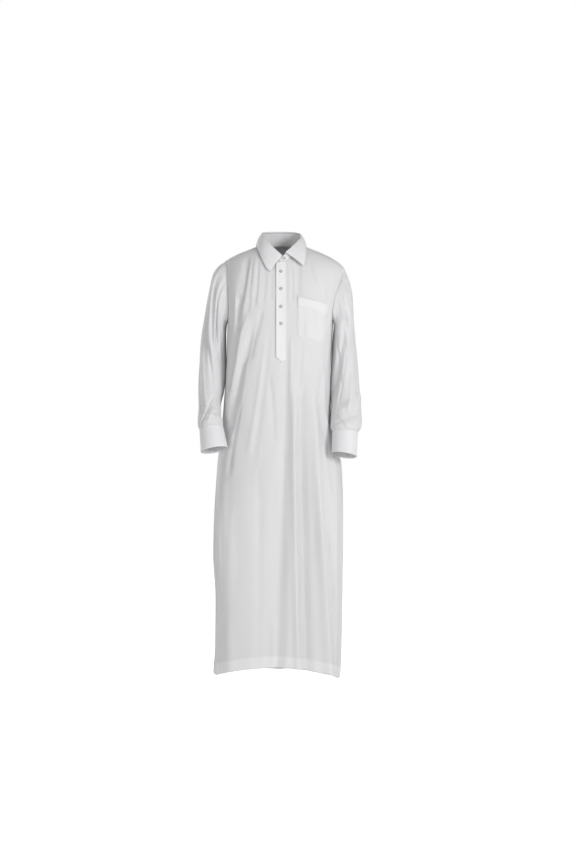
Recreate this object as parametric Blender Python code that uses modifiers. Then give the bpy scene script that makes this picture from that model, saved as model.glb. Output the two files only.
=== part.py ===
"""A man's long white robe with a turned-down collar, a half placket and a chest pocket.

It hangs as it is worn, open at neck, cuffs and hem. Metres, +Z up, the front faces -Y.
The origin lies midway between the shoulders at the base of the neck.
+X is the wearer's left.
"""
import math
from bisect import bisect_right
from collections import namedtuple

import bmesh
import bpy
from mathutils import Matrix, Vector

# Cloth and seams
CLOTH = 0.0012
BAND = 0.0016
HEM_CLOTH = 0.0022
SEAM_GAP = 0.0003
LAID_GAP = 0.0006

# Heights
UNDERARM = -0.250
HEM_LEFT = -1.443
HEM_RIGHT = -1.454
HEM_LIFT_FRONT = 0.044
HEM_LIFT_POWER = 1.5
HEM_DROP_BACK = 0.004

# Neck opening, seen from above
NECK_HALF = 0.069
NECK_MIDDLE = -0.008
NECK_FRONT = 0.090
NECK_BACK = 0.074
NECK_CORNER = 77.0
NAPE_RISE = 0.022
NAPE_HALF = 0.075

# Body over the shoulders
SHOULDER_LEFT_EDGE = 0.190
SHOULDER_RIGHT_EDGE = 0.218
FRONT_TURN_POWER = 2.1
BACK_TURN_POWER = 2.5

# Half placket: a window in the front, filled by the under strip, covered by the upper one
WINDOW_LEFT = -0.012
WINDOW_RIGHT = 0.014
WINDOW_BOTTOM = -0.372
WINDOW_ROWS = 3
PLACKET_LAP = 0.003
PLACKET_TOP_TRIM = 0.0018
PLACKET_CORNER_LEFT = 0.007
PLACKET_TIP = 0.020
PLACKET_CORNER_RIGHT = 0.015

# Buttons
BUTTON_RADIUS = 0.0056
BUTTON_RIM = 0.0010
BUTTON_THICK = 0.0024
BUTTON_DISH = 0.0007
BUTTON_WELL = 0.55
BUTTON_SIDES = 12
BUTTON_HEIGHTS = (-0.0915, -0.1500, -0.2095, -0.2660)
BUTTON_ACROSS = 0.0000
COLLAR_BUTTON_ROUND = 352.0
COLLAR_BUTTON_HEIGHT = 0.42

# Rows and columns of the panels
BODY_ROWS = 28
FRONT_SIDE_COLUMNS = 6
FRONT_NECK_COLUMNS = 6
BACK_COLUMNS = 24
SIDE_CROWDING = 1.25
SLEEVE_ROWS = 20
CUFF_STEPS = 26
COLLAR_STEP = 10
POCKET_COLUMNS = 8

# Half sizes of the body at each height; squareness rounds the corners of the ring
Ring = namedtuple("Ring", "height left right front back square")
RINGS = (
    Ring(-0.250, 0.180, 0.176, 0.135, 0.124, 3.0),
    Ring(-0.330, 0.1825, 0.1715, 0.137, 0.122, 2.9),
    Ring(-0.430, 0.1860, 0.1660, 0.139, 0.120, 2.8),
    Ring(-0.530, 0.1930, 0.1670, 0.141, 0.122, 2.7),
    Ring(-0.640, 0.2030, 0.1780, 0.144, 0.128, 2.5),
    Ring(-0.742, 0.215, 0.205, 0.147, 0.134, 2.6),
    Ring(-0.860, 0.221, 0.208, 0.150, 0.138, 3.6),
    Ring(-1.020, 0.226, 0.207, 0.154, 0.142, 4.0),
    Ring(-1.190, 0.219, 0.205, 0.158, 0.146, 3.8),
    Ring(-1.330, 0.220, 0.203, 0.161, 0.150, 3.6),
    Ring(-1.460, 0.226, 0.197, 0.164, 0.154, 3.6),
)

# Height of the shoulder ridge, outward from the middle
Ridge = namedtuple("Ridge", "across height")
RIDGE = (
    Ridge(0.000, 0.022),
    Ridge(0.070, 0.007),
    Ridge(0.100, -0.004),
    Ridge(0.135, -0.018),
    Ridge(0.170, -0.035),
    Ridge(0.200, -0.0545),
    Ridge(0.212, -0.067),
    Ridge(0.225, -0.089),
)

# Armhole seam: round goes from the shoulder, 0, to the underarm, 180; turn is how far
# the cloth lies over the shoulder; the reaches are parts of the body's half width
Armhole = namedtuple("Armhole", "round turn front_left front_right back")
ARMHOLE = (
    Armhole(0, 90, 1.000, 1.000, 1.000),
    Armhole(18, 78, 0.990, 0.996, 0.985),
    Armhole(36, 66, 0.979, 0.992, 0.970),
    Armhole(54, 54, 0.972, 0.988, 0.955),
    Armhole(72, 43, 0.967, 0.983, 0.942),
    Armhole(90, 33, 0.964, 0.972, 0.935),
    Armhole(108, 24, 0.963, 0.958, 0.935),
    Armhole(126, 16, 0.963, 0.948, 0.940),
    Armhole(144, 9, 0.967, 0.952, 0.950),
    Armhole(160, 4, 0.978, 0.970, 0.970),
    Armhole(171, 1, 0.991, 0.990, 0.990),
    Armhole(180, 0, 1.000, 1.000, 1.000),
)
YOKE_FRONT_STATION = 1
YOKE_BACK_STATION = 3

# Folds: a ridge has a depth above 0, a trough below 0; across is X, or Y on the sides
Fold = namedtuple("Fold", "across_top height_top across_bottom height_bottom bow width depth")
FOLD_WIDTH_TOP = 0.8
FOLD_WIDTH_BOTTOM = 1.3
FOLD_REACH = 3.0
FOLD_FADE_IN = 0.25
FOLD_FADE_OUT = 0.15
SIDE_COSINE = 0.18
SIDE_BLEND = 0.35
FRONT_FOLDS = (
    Fold(0.044, -0.400, 0.067, -1.600, -0.007, 0.012, 0.0120),
    Fold(0.071, -0.300, 0.090, -1.600, -0.006, 0.015, -0.0150),
    Fold(0.100, -0.360, 0.170, -1.600, -0.004, 0.015, 0.0130),
    Fold(0.020, -0.260, -0.026, -1.600, 0.006, 0.017, -0.0100),
    Fold(-0.095, -0.820, -0.105, -1.600, 0.000, 0.055, 0.0070),
    Fold(-0.020, -0.700, -0.030, -1.600, 0.000, 0.018, -0.0045),
    Fold(-0.088, -0.240, -0.180, -0.660, -0.006, 0.013, -0.0100),
    Fold(-0.107, -0.220, -0.178, -0.560, -0.006, 0.011, 0.0075),
    Fold(-0.139, -0.140, -0.184, -0.520, 0.006, 0.012, -0.0080),
    Fold(-0.060, -0.200, -0.112, -0.400, 0.000, 0.011, -0.0050),
    Fold(-0.110, -0.020, -0.140, -0.210, 0.000, 0.010, -0.0050),
    Fold(-0.085, -0.030, -0.098, -0.190, 0.000, 0.009, 0.0035),
    Fold(0.058, -0.040, 0.058, -0.180, 0.000, 0.010, -0.0038),
    Fold(-0.176, -0.700, -0.190, -1.600, 0.004, 0.016, -0.0060),
)
BACK_FOLDS = (
    Fold(-0.020, -0.120, -0.010, -1.600, 0.006, 0.016, -0.0060),
    Fold(0.030, -0.300, 0.040, -1.600, -0.006, 0.020, 0.0075),
    Fold(0.085, -0.180, 0.090, -1.600, 0.008, 0.022, -0.0090),
    Fold(0.135, -0.500, 0.145, -1.600, 0.000, 0.018, 0.0065),
    Fold(-0.070, -0.240, -0.066, -1.600, -0.008, 0.020, 0.0070),
    Fold(-0.115, -0.160, -0.118, -1.600, 0.006, 0.022, -0.0090),
    Fold(-0.160, -0.620, -0.168, -1.600, 0.000, 0.017, 0.0060),
)
MINUS_X_FOLDS = (
    Fold(-0.050, -0.700, -0.064, -1.600, 0.000, 0.022, -0.0080),
    Fold(0.004, -0.720, 0.000, -1.600, 0.000, 0.016, 0.0030),
    Fold(0.052, -0.690, 0.062, -1.600, 0.004, 0.022, -0.0080),
)
PLUS_X_FOLDS = (
    Fold(-0.044, -0.700, -0.056, -1.600, 0.000, 0.020, -0.0080),
    Fold(0.010, -0.740, 0.004, -1.600, 0.000, 0.016, 0.0030),
    Fold(0.060, -0.700, 0.058, -1.600, -0.004, 0.024, -0.0085),
)

# Sleeve sections from shoulder to cuff: the outer and inner edge, the middle and half
# depth front to back, and how much the front of the section stands above its middle
Section = namedtuple("Section", "along out_x out_z in_x in_z middle half_depth rise")
SLEEVE_PLUS_X = (
    Section(0.00, 0.2180, -0.0770, 0.1770, -0.2480, 0.000, 0.066, 0.000),
    Section(0.05, 0.2270, -0.0980, 0.1810, -0.2600, 0.000, 0.074, 0.000),
    Section(0.11, 0.2360, -0.1280, 0.1788, -0.2750, 0.001, 0.077, 0.000),
    Section(0.18, 0.2435, -0.1730, 0.1758, -0.3000, 0.003, 0.076, 0.000),
    Section(0.30, 0.2485, -0.2516, 0.1730, -0.3450, 0.006, 0.073, 0.000),
    Section(0.42, 0.2550, -0.3300, 0.1700, -0.4000, 0.006, 0.070, 0.004),
    Section(0.53, 0.2610, -0.4036, 0.1682, -0.4500, 0.000, 0.068, 0.012),
    Section(0.65, 0.2670, -0.4810, 0.1680, -0.5020, -0.018, 0.065, 0.018),
    Section(0.76, 0.2705, -0.5400, 0.1680, -0.5480, -0.042, 0.062, 0.020),
    Section(0.86, 0.2720, -0.5880, 0.1670, -0.5880, -0.068, 0.058, 0.018),
    Section(0.94, 0.2680, -0.6120, 0.1660, -0.6090, -0.086, 0.051, 0.014),
    Section(1.00, 0.2570, -0.6270, 0.1725, -0.6240, -0.096, 0.040, 0.010),
)
SLEEVE_MINUS_X = (
    Section(0.00, -0.1890, -0.0480, -0.1790, -0.2480, 0.000, 0.066, 0.000),
    Section(0.05, -0.2120, -0.0640, -0.1845, -0.2600, 0.000, 0.074, 0.000),
    Section(0.11, -0.2310, -0.0920, -0.1862, -0.2750, 0.001, 0.077, 0.000),
    Section(0.18, -0.2430, -0.1400, -0.1866, -0.3000, 0.003, 0.076, 0.000),
    Section(0.30, -0.2575, -0.2150, -0.1862, -0.3450, 0.006, 0.073, 0.000),
    Section(0.42, -0.2700, -0.2950, -0.1866, -0.3950, 0.006, 0.070, 0.004),
    Section(0.53, -0.2770, -0.3820, -0.1875, -0.4400, 0.000, 0.068, 0.012),
    Section(0.65, -0.2800, -0.4700, -0.1930, -0.4900, -0.018, 0.064, 0.018),
    Section(0.76, -0.2785, -0.5350, -0.2020, -0.5330, -0.042, 0.060, 0.020),
    Section(0.86, -0.2795, -0.5850, -0.2010, -0.5720, -0.068, 0.056, 0.018),
    Section(0.94, -0.2780, -0.6050, -0.1940, -0.5920, -0.084, 0.049, 0.014),
    Section(1.00, -0.2725, -0.6180, -0.1930, -0.6050, -0.093, 0.040, 0.010),
)
CUFF_PLUS_X = (
    Section(0.00, 0.2570, -0.6275, 0.1725, -0.6245, -0.096, 0.040, 0.010),
    Section(1.00, 0.2530, -0.7080, 0.1685, -0.6960, -0.124, 0.041, 0.010),
)
CUFF_MINUS_X = (
    Section(0.00, -0.2725, -0.6185, -0.1930, -0.6055, -0.093, 0.040, 0.010),
    Section(1.00, -0.2665, -0.6930, -0.1765, -0.6770, -0.120, 0.041, 0.010),
)
CUFF_OPENING = -70.0
CUFF_LAP = 30.0
CUFF_LIFT_START = 305.0
CUFF_LIFT_REACH = 45.0
CUFF_BUTTON_ALONG = 0.5
CUFF_BUTTON_LAP = 0.45

# Sleeve folds: around is in degrees, with the front above 0; along runs from 0 to 1
SleeveFold = namedtuple("SleeveFold", "round_top top round_bottom bottom width depth")
SLEEVE_FOLD_OVERRUN = 0.3
SLEEVE_FOLD_FADE = 0.5
PLUS_X_SLEEVE_FOLDS = (
    SleeveFold(70, 0.16, 130, 0.62, 14, -0.0060),
    SleeveFold(40, 0.20, 98, 0.60, 15, 0.0045),
    SleeveFold(112, 0.38, 142, 0.66, 12, -0.0045),
    SleeveFold(60, 0.84, 126, 0.93, 26, -0.0040),
    SleeveFold(20, 0.70, 112, 0.82, 24, 0.0040),
    SleeveFold(-70, 0.10, -120, 0.50, 18, -0.0060),
    SleeveFold(-96, 0.44, -60, 0.80, 18, 0.0060),
    SleeveFold(-130, 0.55, -70, 0.90, 16, -0.0055),
)
MINUS_X_SLEEVE_FOLDS = (
    SleeveFold(66, 0.10, 118, 0.44, 13, -0.0060),
    SleeveFold(44, 0.16, 92, 0.50, 13, 0.0045),
    SleeveFold(28, 0.22, 58, 0.50, 15, -0.0045),
    SleeveFold(60, 0.86, 126, 0.90, 24, 0.0040),
    SleeveFold(30, 0.78, 120, 0.82, 22, -0.0040),
    SleeveFold(-66, 0.12, -118, 0.48, 18, -0.0060),
    SleeveFold(-90, 0.46, -58, 0.82, 18, 0.0060),
    SleeveFold(-126, 0.56, -72, 0.92, 16, -0.0055),
)

# Fold line of the collar on top of its stand; round runs from the front over the
# wearer's right, the nape and the wearer's left
FoldPoint = namedtuple("FoldPoint", "round x y z")
FOLD_LINE = (
    FoldPoint(0, 0.0030, -0.0940, -0.0390),
    FoldPoint(22, -0.0260, -0.0850, -0.0100),
    FoldPoint(48, -0.0490, -0.0620, 0.0190),
    FoldPoint(78, -0.0620, -0.0230, 0.0395),
    FoldPoint(110, -0.0600, 0.0130, 0.0500),
    FoldPoint(145, -0.0390, 0.0450, 0.0560),
    FoldPoint(180, 0.0010, 0.0570, 0.0580),
    FoldPoint(215, 0.0410, 0.0450, 0.0550),
    FoldPoint(250, 0.0630, 0.0130, 0.0460),
    FoldPoint(282, 0.0660, -0.0230, 0.0310),
    FoldPoint(312, 0.0530, -0.0600, 0.0110),
    FoldPoint(338, 0.0290, -0.0850, -0.0150),
    FoldPoint(360, 0.0030, -0.0940, -0.0390),
)

# Free edge of the collar's leaf, seen from above, and its height over the body
LeafPoint = namedtuple("LeafPoint", "round x y lift")
LEAF_EDGE = (
    LeafPoint(0, -0.0350, -0.1110, 0.0045),
    LeafPoint(10, -0.0460, -0.1065, 0.0050),
    LeafPoint(22, -0.0560, -0.0968, 0.0050),
    LeafPoint(48, -0.0700, -0.0741, 0.0045),
    LeafPoint(78, -0.0815, -0.0250, 0.0035),
    LeafPoint(110, -0.0830, 0.0200, 0.0035),
    LeafPoint(145, -0.0600, 0.0680, 0.0035),
    LeafPoint(180, 0.0010, 0.0850, 0.0035),
    LeafPoint(215, 0.0610, 0.0680, 0.0035),
    LeafPoint(250, 0.0840, 0.0200, 0.0035),
    LeafPoint(282, 0.0840, -0.0270, 0.0035),
    LeafPoint(312, 0.0825, -0.0660, 0.0050),
    LeafPoint(332, 0.0795, -0.0870, 0.0060),
    LeafPoint(350, 0.0745, -0.0993, 0.0060),
)

# How the collar turns over the stand: outward and up from the stand's top
TURN_OVER = ((-0.0016, 0.0006), (-0.0013, 0.0026), (0.0003, 0.0041), (0.0027, 0.0043), (0.0054, 0.0026))
LEAF_ROWS = 3
LEAF_PUFF = 0.0035
LEAF_PUFF_REACH = 0.9
LEAF_PUFF_LEAN = 0.7
LEAF_LAP_START = 8.0
LEAF_LAP_REACH = 10.0
STAND_UNDER_END = -10
STAND_OVER_END = 370
STAND_LAP_START = 330.0
STAND_LAP_FULL = 350.0
STAND_ROUNDING = 0.22
STAND_ROUNDING_REACH = 22.0
STAND_ROWS = (0.03, 0.5, 0.97)

# Chest pocket: corners as across and height, seen from the front
POCKET_TOP_LEFT = (0.0568, -0.1756)
POCKET_TOP_RIGHT = (0.1612, -0.2018)
POCKET_BOTTOM_RIGHT = (0.1390, -0.3260)
POCKET_BOTTOM_LEFT = (0.0573, -0.3110)
POCKET_CORNER_CUT = 0.022
POCKET_CUT_ACROSS = 0.5
POCKET_CUT_DOWN = 0.6
POCKET_GAP = 0.0008
POCKET_BAND_EXTRA = 0.0008
POCKET_ROWS = (0.0, 0.11, 0.215, 0.240, 0.37, 0.50, 0.63, 0.76, 0.88, 1.0)
POCKET_BAND_ROW = 2

# Colours as linear values, and finishes
WHITE_CLOTH = (0.86, 0.86, 0.87)
BUTTON_PEARL = (0.52, 0.50, 0.46)
CLOTH_ROUGHNESS = 0.85
BUTTON_ROUGHNESS = 0.30
SHARP_ANGLE = 50.0
MERGE_DISTANCE = 0.00001

# Steps used to find directions on the surfaces
PROBE = 0.02
PROBE_ANGLE = 0.4
PROBE_ROUND = 1.0
PROBE_ALONG = 0.01
SEARCH_STEPS = 30


def mix(start, end, part):
    return start + (end - start) * part


def ease(part):
    part = min(max(part, 0.0), 1.0)
    return part * part * (3.0 - 2.0 * part)


class Curve:
    """A smooth curve through one column of a table, without overshoot."""

    def __init__(self, rows, along, name):
        self.places = [getattr(row, along) for row in rows]
        self.values = [getattr(row, name) for row in rows]
        steps = list(zip(self.places, self.places[1:], self.values, self.values[1:]))
        rises = [(v1 - v0) / (p1 - p0) for p0, p1, v0, v1 in steps]
        inner = [2.0 * a * b / (a + b) if a * b > 0.0 else 0.0 for a, b in zip(rises, rises[1:])]
        self.slopes = [rises[0]] + inner + [rises[-1]]

    def __call__(self, at):
        at = min(max(at, self.places[0]), self.places[-1])
        k = min(max(bisect_right(self.places, at) - 1, 0), len(self.places) - 2)
        span = self.places[k + 1] - self.places[k]
        t = (at - self.places[k]) / span
        start = (1.0 + 2.0 * t) * (1.0 - t) ** 2 * self.values[k]
        end = t * t * (3.0 - 2.0 * t) * self.values[k + 1]
        lean = t * (1.0 - t) ** 2 * self.slopes[k] - t * t * (1.0 - t) * self.slopes[k + 1]
        return start + end + lean * span


def curves(rows, along):
    return {name: Curve(rows, along, name) for name in rows[0]._fields if name != along}


RINGS_UP = tuple(reversed(RINGS))
RING = curves(RINGS_UP, "height")
RIDGE_HEIGHT = Curve(RIDGE, "across", "height")
ARM = curves(ARMHOLE, "round")


# The body's surface

def half_width(sine, turn):
    """Half width of the body at the underarm and over the shoulder."""
    if sine < 0.0:
        return mix(RINGS[0].left, SHOULDER_LEFT_EDGE, math.sin(math.radians(turn)))
    return mix(RINGS[0].right, SHOULDER_RIGHT_EDGE, math.sin(math.radians(turn)))


def hem_height(angle):
    front = max(math.cos(math.radians(angle)), 0.0) ** HEM_LIFT_POWER
    back = max(-math.cos(math.radians(angle)), 0.0)
    side = mix(HEM_LEFT, HEM_RIGHT, (math.sin(math.radians(angle)) + 1.0) / 2.0)
    return side + HEM_LIFT_FRONT * front - HEM_DROP_BACK * back


def body_base(angle, way):
    """Smooth body: way 0 is the shoulder ridge, 1 the underarm's height, 2 the hem."""
    sine = math.sin(math.radians(angle))
    front = math.cos(math.radians(angle)) >= 0.0
    if way < 1.0:
        turn = 90.0 * (1.0 - way)
        x = sine * half_width(sine, turn)
        square = RINGS[0].square
        depth = RINGS[0].front if front else RINGS[0].back
        power = 2.0 / (FRONT_TURN_POWER if front else BACK_TURN_POWER)
        level = (1.0 - min(abs(sine), 1.0) ** square) ** (1.0 / square)
        y = depth * level * max(math.cos(math.radians(turn)), 0.0) ** power
        lift = math.sin(math.radians(turn)) ** power
        z = UNDERARM + (RIDGE_HEIGHT(abs(x)) - UNDERARM) * lift
        if not front:
            hump = math.exp(-(x / NAPE_HALF) ** 2)
            z += NAPE_RISE * hump * math.sin(math.radians(2.0 * turn)) ** 2
        return Vector((x, -y if front else y, z))
    z = UNDERARM + (hem_height(angle) - UNDERARM) * (way - 1.0)
    x = sine * (RING["left"](z) if sine < 0.0 else RING["right"](z))
    square = RING["square"](z)
    level = (1.0 - min(abs(sine), 1.0) ** square) ** (1.0 / square)
    y = level * (-RING["front"](z) if front else RING["back"](z))
    return Vector((x, y, z))


def fold_depth(folds, across, height):
    total = 0.0
    for fold in folds:
        part = (height - fold.height_top) / (fold.height_bottom - fold.height_top)
        if 0.0 < part < 1.0:
            middle = mix(fold.across_top, fold.across_bottom, part)
            middle += fold.bow * 4.0 * part * (1.0 - part)
            off = (across - middle) / (fold.width * mix(FOLD_WIDTH_TOP, FOLD_WIDTH_BOTTOM, part))
            if abs(off) < FOLD_REACH:
                fade = ease(part / FOLD_FADE_IN) * ease((1.0 - part) / FOLD_FADE_OUT)
                total += fold.depth * fade * math.exp(-off * off)
    return total


def body(angle, way):
    """The body with its folds."""
    place = body_base(angle, way)
    sine = math.sin(math.radians(angle))
    cosine = math.cos(math.radians(angle))
    facing = ease((abs(cosine) - SIDE_COSINE) / SIDE_BLEND)
    depth = facing * fold_depth(FRONT_FOLDS if cosine > 0.0 else BACK_FOLDS, place.x, place.z)
    if facing < 1.0:
        side_folds = MINUS_X_FOLDS if sine < 0.0 else PLUS_X_FOLDS
        depth += (1.0 - facing) * fold_depth(side_folds, place.y, place.z)
    turn = math.radians(90.0 * max(1.0 - way, 0.0))
    out = Vector((sine * math.cos(turn), -cosine * math.cos(turn), math.sin(turn)))
    return place + out.normalized() * depth


def body_out(angle, way):
    """Outward direction of the folded body."""
    lower = min(way + PROBE, 2.0)
    if way < 1.0 - PROBE / 2:
        upper = max(way - PROBE, 0.0)
    else:
        upper = way - PROBE / 4
    around = body(angle + PROBE_ANGLE, way) - body(angle - PROBE_ANGLE, way)
    down = body(angle, lower) - body(angle, upper)
    return down.cross(around).normalized()


def over_shoulder(reach, spread):
    """Angle and way of a place by its part of the half width and its degrees off the ridge."""
    angle = math.degrees(math.asin(min(max(reach, -1.0), 1.0)))
    if spread > 0.0:
        angle = 180.0 - angle
    return angle, abs(spread) / 90.0


def on_front(x, z):
    """Angle and way of the front's place at x and z."""
    if z > UNDERARM:
        rise = (z - UNDERARM) / (RIDGE_HEIGHT(abs(x)) - UNDERARM)
        turn = math.degrees(math.asin(min(rise, 1.0) ** (FRONT_TURN_POWER / 2.0)))
        angle = math.degrees(math.asin(x / half_width(x, turn)))
        return angle, 1.0 - turn / 90.0
    half = RING["left"](z) if x < 0.0 else RING["right"](z)
    angle = math.degrees(math.asin(x / half))
    return angle, 1.0 + (z - UNDERARM) / (hem_height(angle) - UNDERARM)


def armhole_place(side, round_angle):
    """Reach and spread of the armhole seam; the front has a round angle above 0."""
    turned = abs(round_angle)
    if round_angle < 0.0:
        reach = ARM["back"](turned)
    elif side < 0:
        reach = ARM["front_left"](turned)
    else:
        reach = ARM["front_right"](turned)
    spread = 90.0 - ARM["turn"](turned)
    return side * reach, -spread if round_angle >= 0.0 else spread


def seen_from_above(x, y):
    """Reach and spread of the place of the upper body at x and y."""
    depth, power = (RINGS[0].front, FRONT_TURN_POWER) if y < 0.0 else (RINGS[0].back, BACK_TURN_POWER)
    turn = 60.0
    for _ in range(SEARCH_STEPS // 6):
        reach = x / half_width(x, turn)
        level = (1.0 - abs(reach) ** RINGS[0].square) ** (1.0 / RINGS[0].square)
        turn = math.degrees(math.acos(min((abs(y) / (depth * level)) ** (power / 2.0), 1.0)))
    return reach, (turn - 90.0) if y < 0.0 else (90.0 - turn)


def neck_place(round_angle):
    """Reach and spread of the neck seam; 0 is the front, 90 the wearer's left."""
    cosine = math.cos(math.radians(round_angle))
    y = NECK_MIDDLE - (NECK_FRONT if cosine > 0.0 else NECK_BACK) * cosine
    return seen_from_above(NECK_HALF * math.sin(math.radians(round_angle)), y)


# The sleeves' surface

SLEEVES = {-1: curves(SLEEVE_MINUS_X, "along"), 1: curves(SLEEVE_PLUS_X, "along")}
CUFFS = {-1: curves(CUFF_MINUS_X, "along"), 1: curves(CUFF_PLUS_X, "along")}
SLEEVE_FOLDS = {-1: MINUS_X_SLEEVE_FOLDS, 1: PLUS_X_SLEEVE_FOLDS}
ARMHOLE_BLEND = 0.16


def tube_point(table, round_angle, along):
    cosine = math.cos(math.radians(round_angle))
    sine = math.sin(math.radians(round_angle))
    middle_x = (table["out_x"](along) + table["in_x"](along)) / 2.0
    middle_z = (table["out_z"](along) + table["in_z"](along)) / 2.0
    x = middle_x + cosine * (table["out_x"](along) - middle_x)
    z = middle_z + cosine * (table["out_z"](along) - middle_z) + sine * table["rise"](along)
    return Vector((x, table["middle"](along) - sine * table["half_depth"](along), z))


def armhole_point(side, round_angle):
    return body(*over_shoulder(*armhole_place(side, round_angle)))


def sleeve_base(side, round_angle, along):
    table = SLEEVES[side]
    place = tube_point(table, round_angle, along)
    if along < ARMHOLE_BLEND:
        step = armhole_point(side, round_angle) - tube_point(table, round_angle, 0.0)
        place += step * (1.0 - ease(along / ARMHOLE_BLEND))
    return place


def sleeve(side, round_angle, along):
    place = sleeve_base(side, round_angle, along)
    depth = 0.0
    for fold in SLEEVE_FOLDS[side]:
        part = (along - fold.top) / (fold.bottom - fold.top)
        before, after = part + SLEEVE_FOLD_OVERRUN, 1.0 + SLEEVE_FOLD_OVERRUN - part
        if before > 0.0 and after > 0.0:
            middle = mix(fold.round_top, fold.round_bottom, part)
            off = (round_angle - middle + 180.0) % 360.0 - 180.0
            fade = ease(before / SLEEVE_FOLD_FADE) * ease(after / SLEEVE_FOLD_FADE)
            depth += fold.depth * fade * math.exp(-(off / fold.width) ** 2)
    table = SLEEVES[side]
    middle = (tube_point(table, 0.0, along) + tube_point(table, 180.0, along)) / 2.0
    return place + (place - middle).normalized() * depth


def sleeve_out(side, round_angle, along):
    after = sleeve(side, round_angle + PROBE_ROUND, along)
    around = after - sleeve(side, round_angle - PROBE_ROUND, along)
    ahead, behind = min(along + PROBE_ALONG, 1.0), max(along - PROBE_ALONG, 0.0)
    down = sleeve(side, round_angle, ahead) - sleeve(side, round_angle, behind)
    return (around.cross(down) * side).normalized()


def armhole_out(side, round_angle):
    """Direction that the body and the sleeve share along their seam."""
    of_body = body_out(*over_shoulder(*armhole_place(side, round_angle)))
    return (of_body + sleeve_out(side, round_angle, 0.0)).normalized()


# Walls

def new_object(name, mesh, material):
    mesh.materials.clear()
    mesh.materials.append(material)
    mesh.shade_smooth()
    mesh.set_sharp_from_angle(angle=math.radians(SHARP_ANGLE))
    item = bpy.data.objects.new(name, mesh)
    collection().objects.link(item)
    return item


def wall(name, outer, inner, material, ring=False, hole=None):
    """A closed wall between two grids of points that match, rows by columns."""
    shape = bmesh.new()
    outside = [[shape.verts.new(point) for point in row] for row in outer]
    inside = [[shape.verts.new(point) for point in row] for row in inner]
    partner = {}
    for out_row, in_row in zip(outside, inside):
        partner.update(zip(out_row, in_row))
    columns = len(outer[0])
    for r in range(len(outer) - 1):
        for c in range(columns if ring else columns - 1):
            if hole and hole(r, c):
                continue
            n = (c + 1) % columns
            a, b = outside[r][c], outside[r][n]
            d, e = outside[r + 1][c], outside[r + 1][n]
            slope = (a.co - e.co).length < (b.co - d.co).length
            halves = ((a, b, e), (a, e, d)) if slope else ((a, b, d), (b, e, d))
            for half in halves:
                shape.faces.new(half)
                shape.faces.new([partner[v] for v in reversed(half)])
    rims = [edge for edge in shape.edges if edge.is_boundary and edge.verts[0] in partner]
    for edge in rims:
        a, b = edge.verts
        shape.faces.new((a, b, partner[b]))
        shape.faces.new((a, partner[b], partner[a]))
    loose = [v for v in shape.verts if not v.link_faces]
    bmesh.ops.delete(shape, geom=loose, context="VERTS")
    bmesh.ops.recalc_face_normals(shape, faces=shape.faces)
    mesh = bpy.data.meshes.new(name)
    shape.to_mesh(mesh)
    shape.free()
    return new_object(name, mesh, material)


def offset(points, outs, distance):
    return [[p + n * distance for p, n in zip(row, out_row)] for row, out_row in zip(points, outs)]


# Seams shared by the panels

def front_columns(side):
    """Neck angles of a front half's columns, from the neck corner to the placket."""
    edge = WINDOW_LEFT if side < 0 else WINDOW_RIGHT
    last = math.degrees(math.asin(abs(edge) / NECK_HALF))
    steps = FRONT_NECK_COLUMNS
    return [side * mix(NECK_CORNER, last, k / steps) for k in range(steps + 1)]


def front_seam(side):
    """Front shoulder seam from the armhole to the neck corner, as reach and spread."""
    start = armhole_place(side, ARMHOLE[YOKE_FRONT_STATION].round)
    end = neck_place(side * NECK_CORNER)
    steps = FRONT_SIDE_COLUMNS
    return [(mix(start[0], end[0], k / steps), mix(start[1], end[1], k / steps)) for k in range(steps + 1)]


def spread_at_height(angle_reach, height):
    """Degrees off the ridge at which the back reaches a height."""
    low, high = 0.0, 90.0
    for _ in range(SEARCH_STEPS):
        middle = (low + high) / 2.0
        if body_base(*over_shoulder(angle_reach, max(middle, 0.01))).z > height:
            low = middle
        else:
            high = middle
    return low


def back_seam():
    """Back yoke seam from right hand to left hand of the wearer, as reach and spread."""
    ends = [armhole_place(side, -ARMHOLE[YOKE_BACK_STATION].round) for side in (-1, 1)]
    heights = [body_base(*over_shoulder(*end)).z for end in ends]
    places = []
    for k in range(BACK_COLUMNS + 1):
        part = k / BACK_COLUMNS
        reach = mix(ends[0][0], ends[1][0], part)
        places.append((reach, spread_at_height(reach, mix(heights[0], heights[1], part))))
    places[0], places[-1] = ends
    return places


def skirt_ways():
    """Rows below the underarm; one of them is the lower end of the placket's window."""
    window_way = (WINDOW_BOTTOM - UNDERARM) / (hem_height(0.0) - UNDERARM)
    upper = [1.0 + window_way * k / WINDOW_ROWS for k in range(1, WINDOW_ROWS)]
    rows = BODY_ROWS - WINDOW_ROWS
    return upper + [1.0 + mix(window_way, 1.0, k / rows) for k in range(rows + 1)]


def crowded(part):
    """Part of the way from the front's middle to its side, with closer steps at the side."""
    return 1.0 - (1.0 - part) ** SIDE_CROWDING


def trimmed(points, outs, edges, half=SEAM_GAP / 2.0):
    """Pulls the outer rows and columns back by half a seam's gap."""
    rows, columns = len(points), len(points[0])
    moved = [[point.copy() for point in row] for row in points]
    for r in range(rows):
        for c in range(columns):
            if "top" in edges and r == 0:
                moved[r][c] += (points[1][c] - points[0][c]).normalized() * half
            if "bottom" in edges and r == rows - 1:
                moved[r][c] += (points[r - 1][c] - points[r][c]).normalized() * half
            if "left" in edges and c == 0:
                moved[r][c] += (points[r][1] - points[r][0]).normalized() * half
            if "right" in edges and c == columns - 1:
                moved[r][c] += (points[r][c - 1] - points[r][c]).normalized() * half
    return moved, outs


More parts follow.
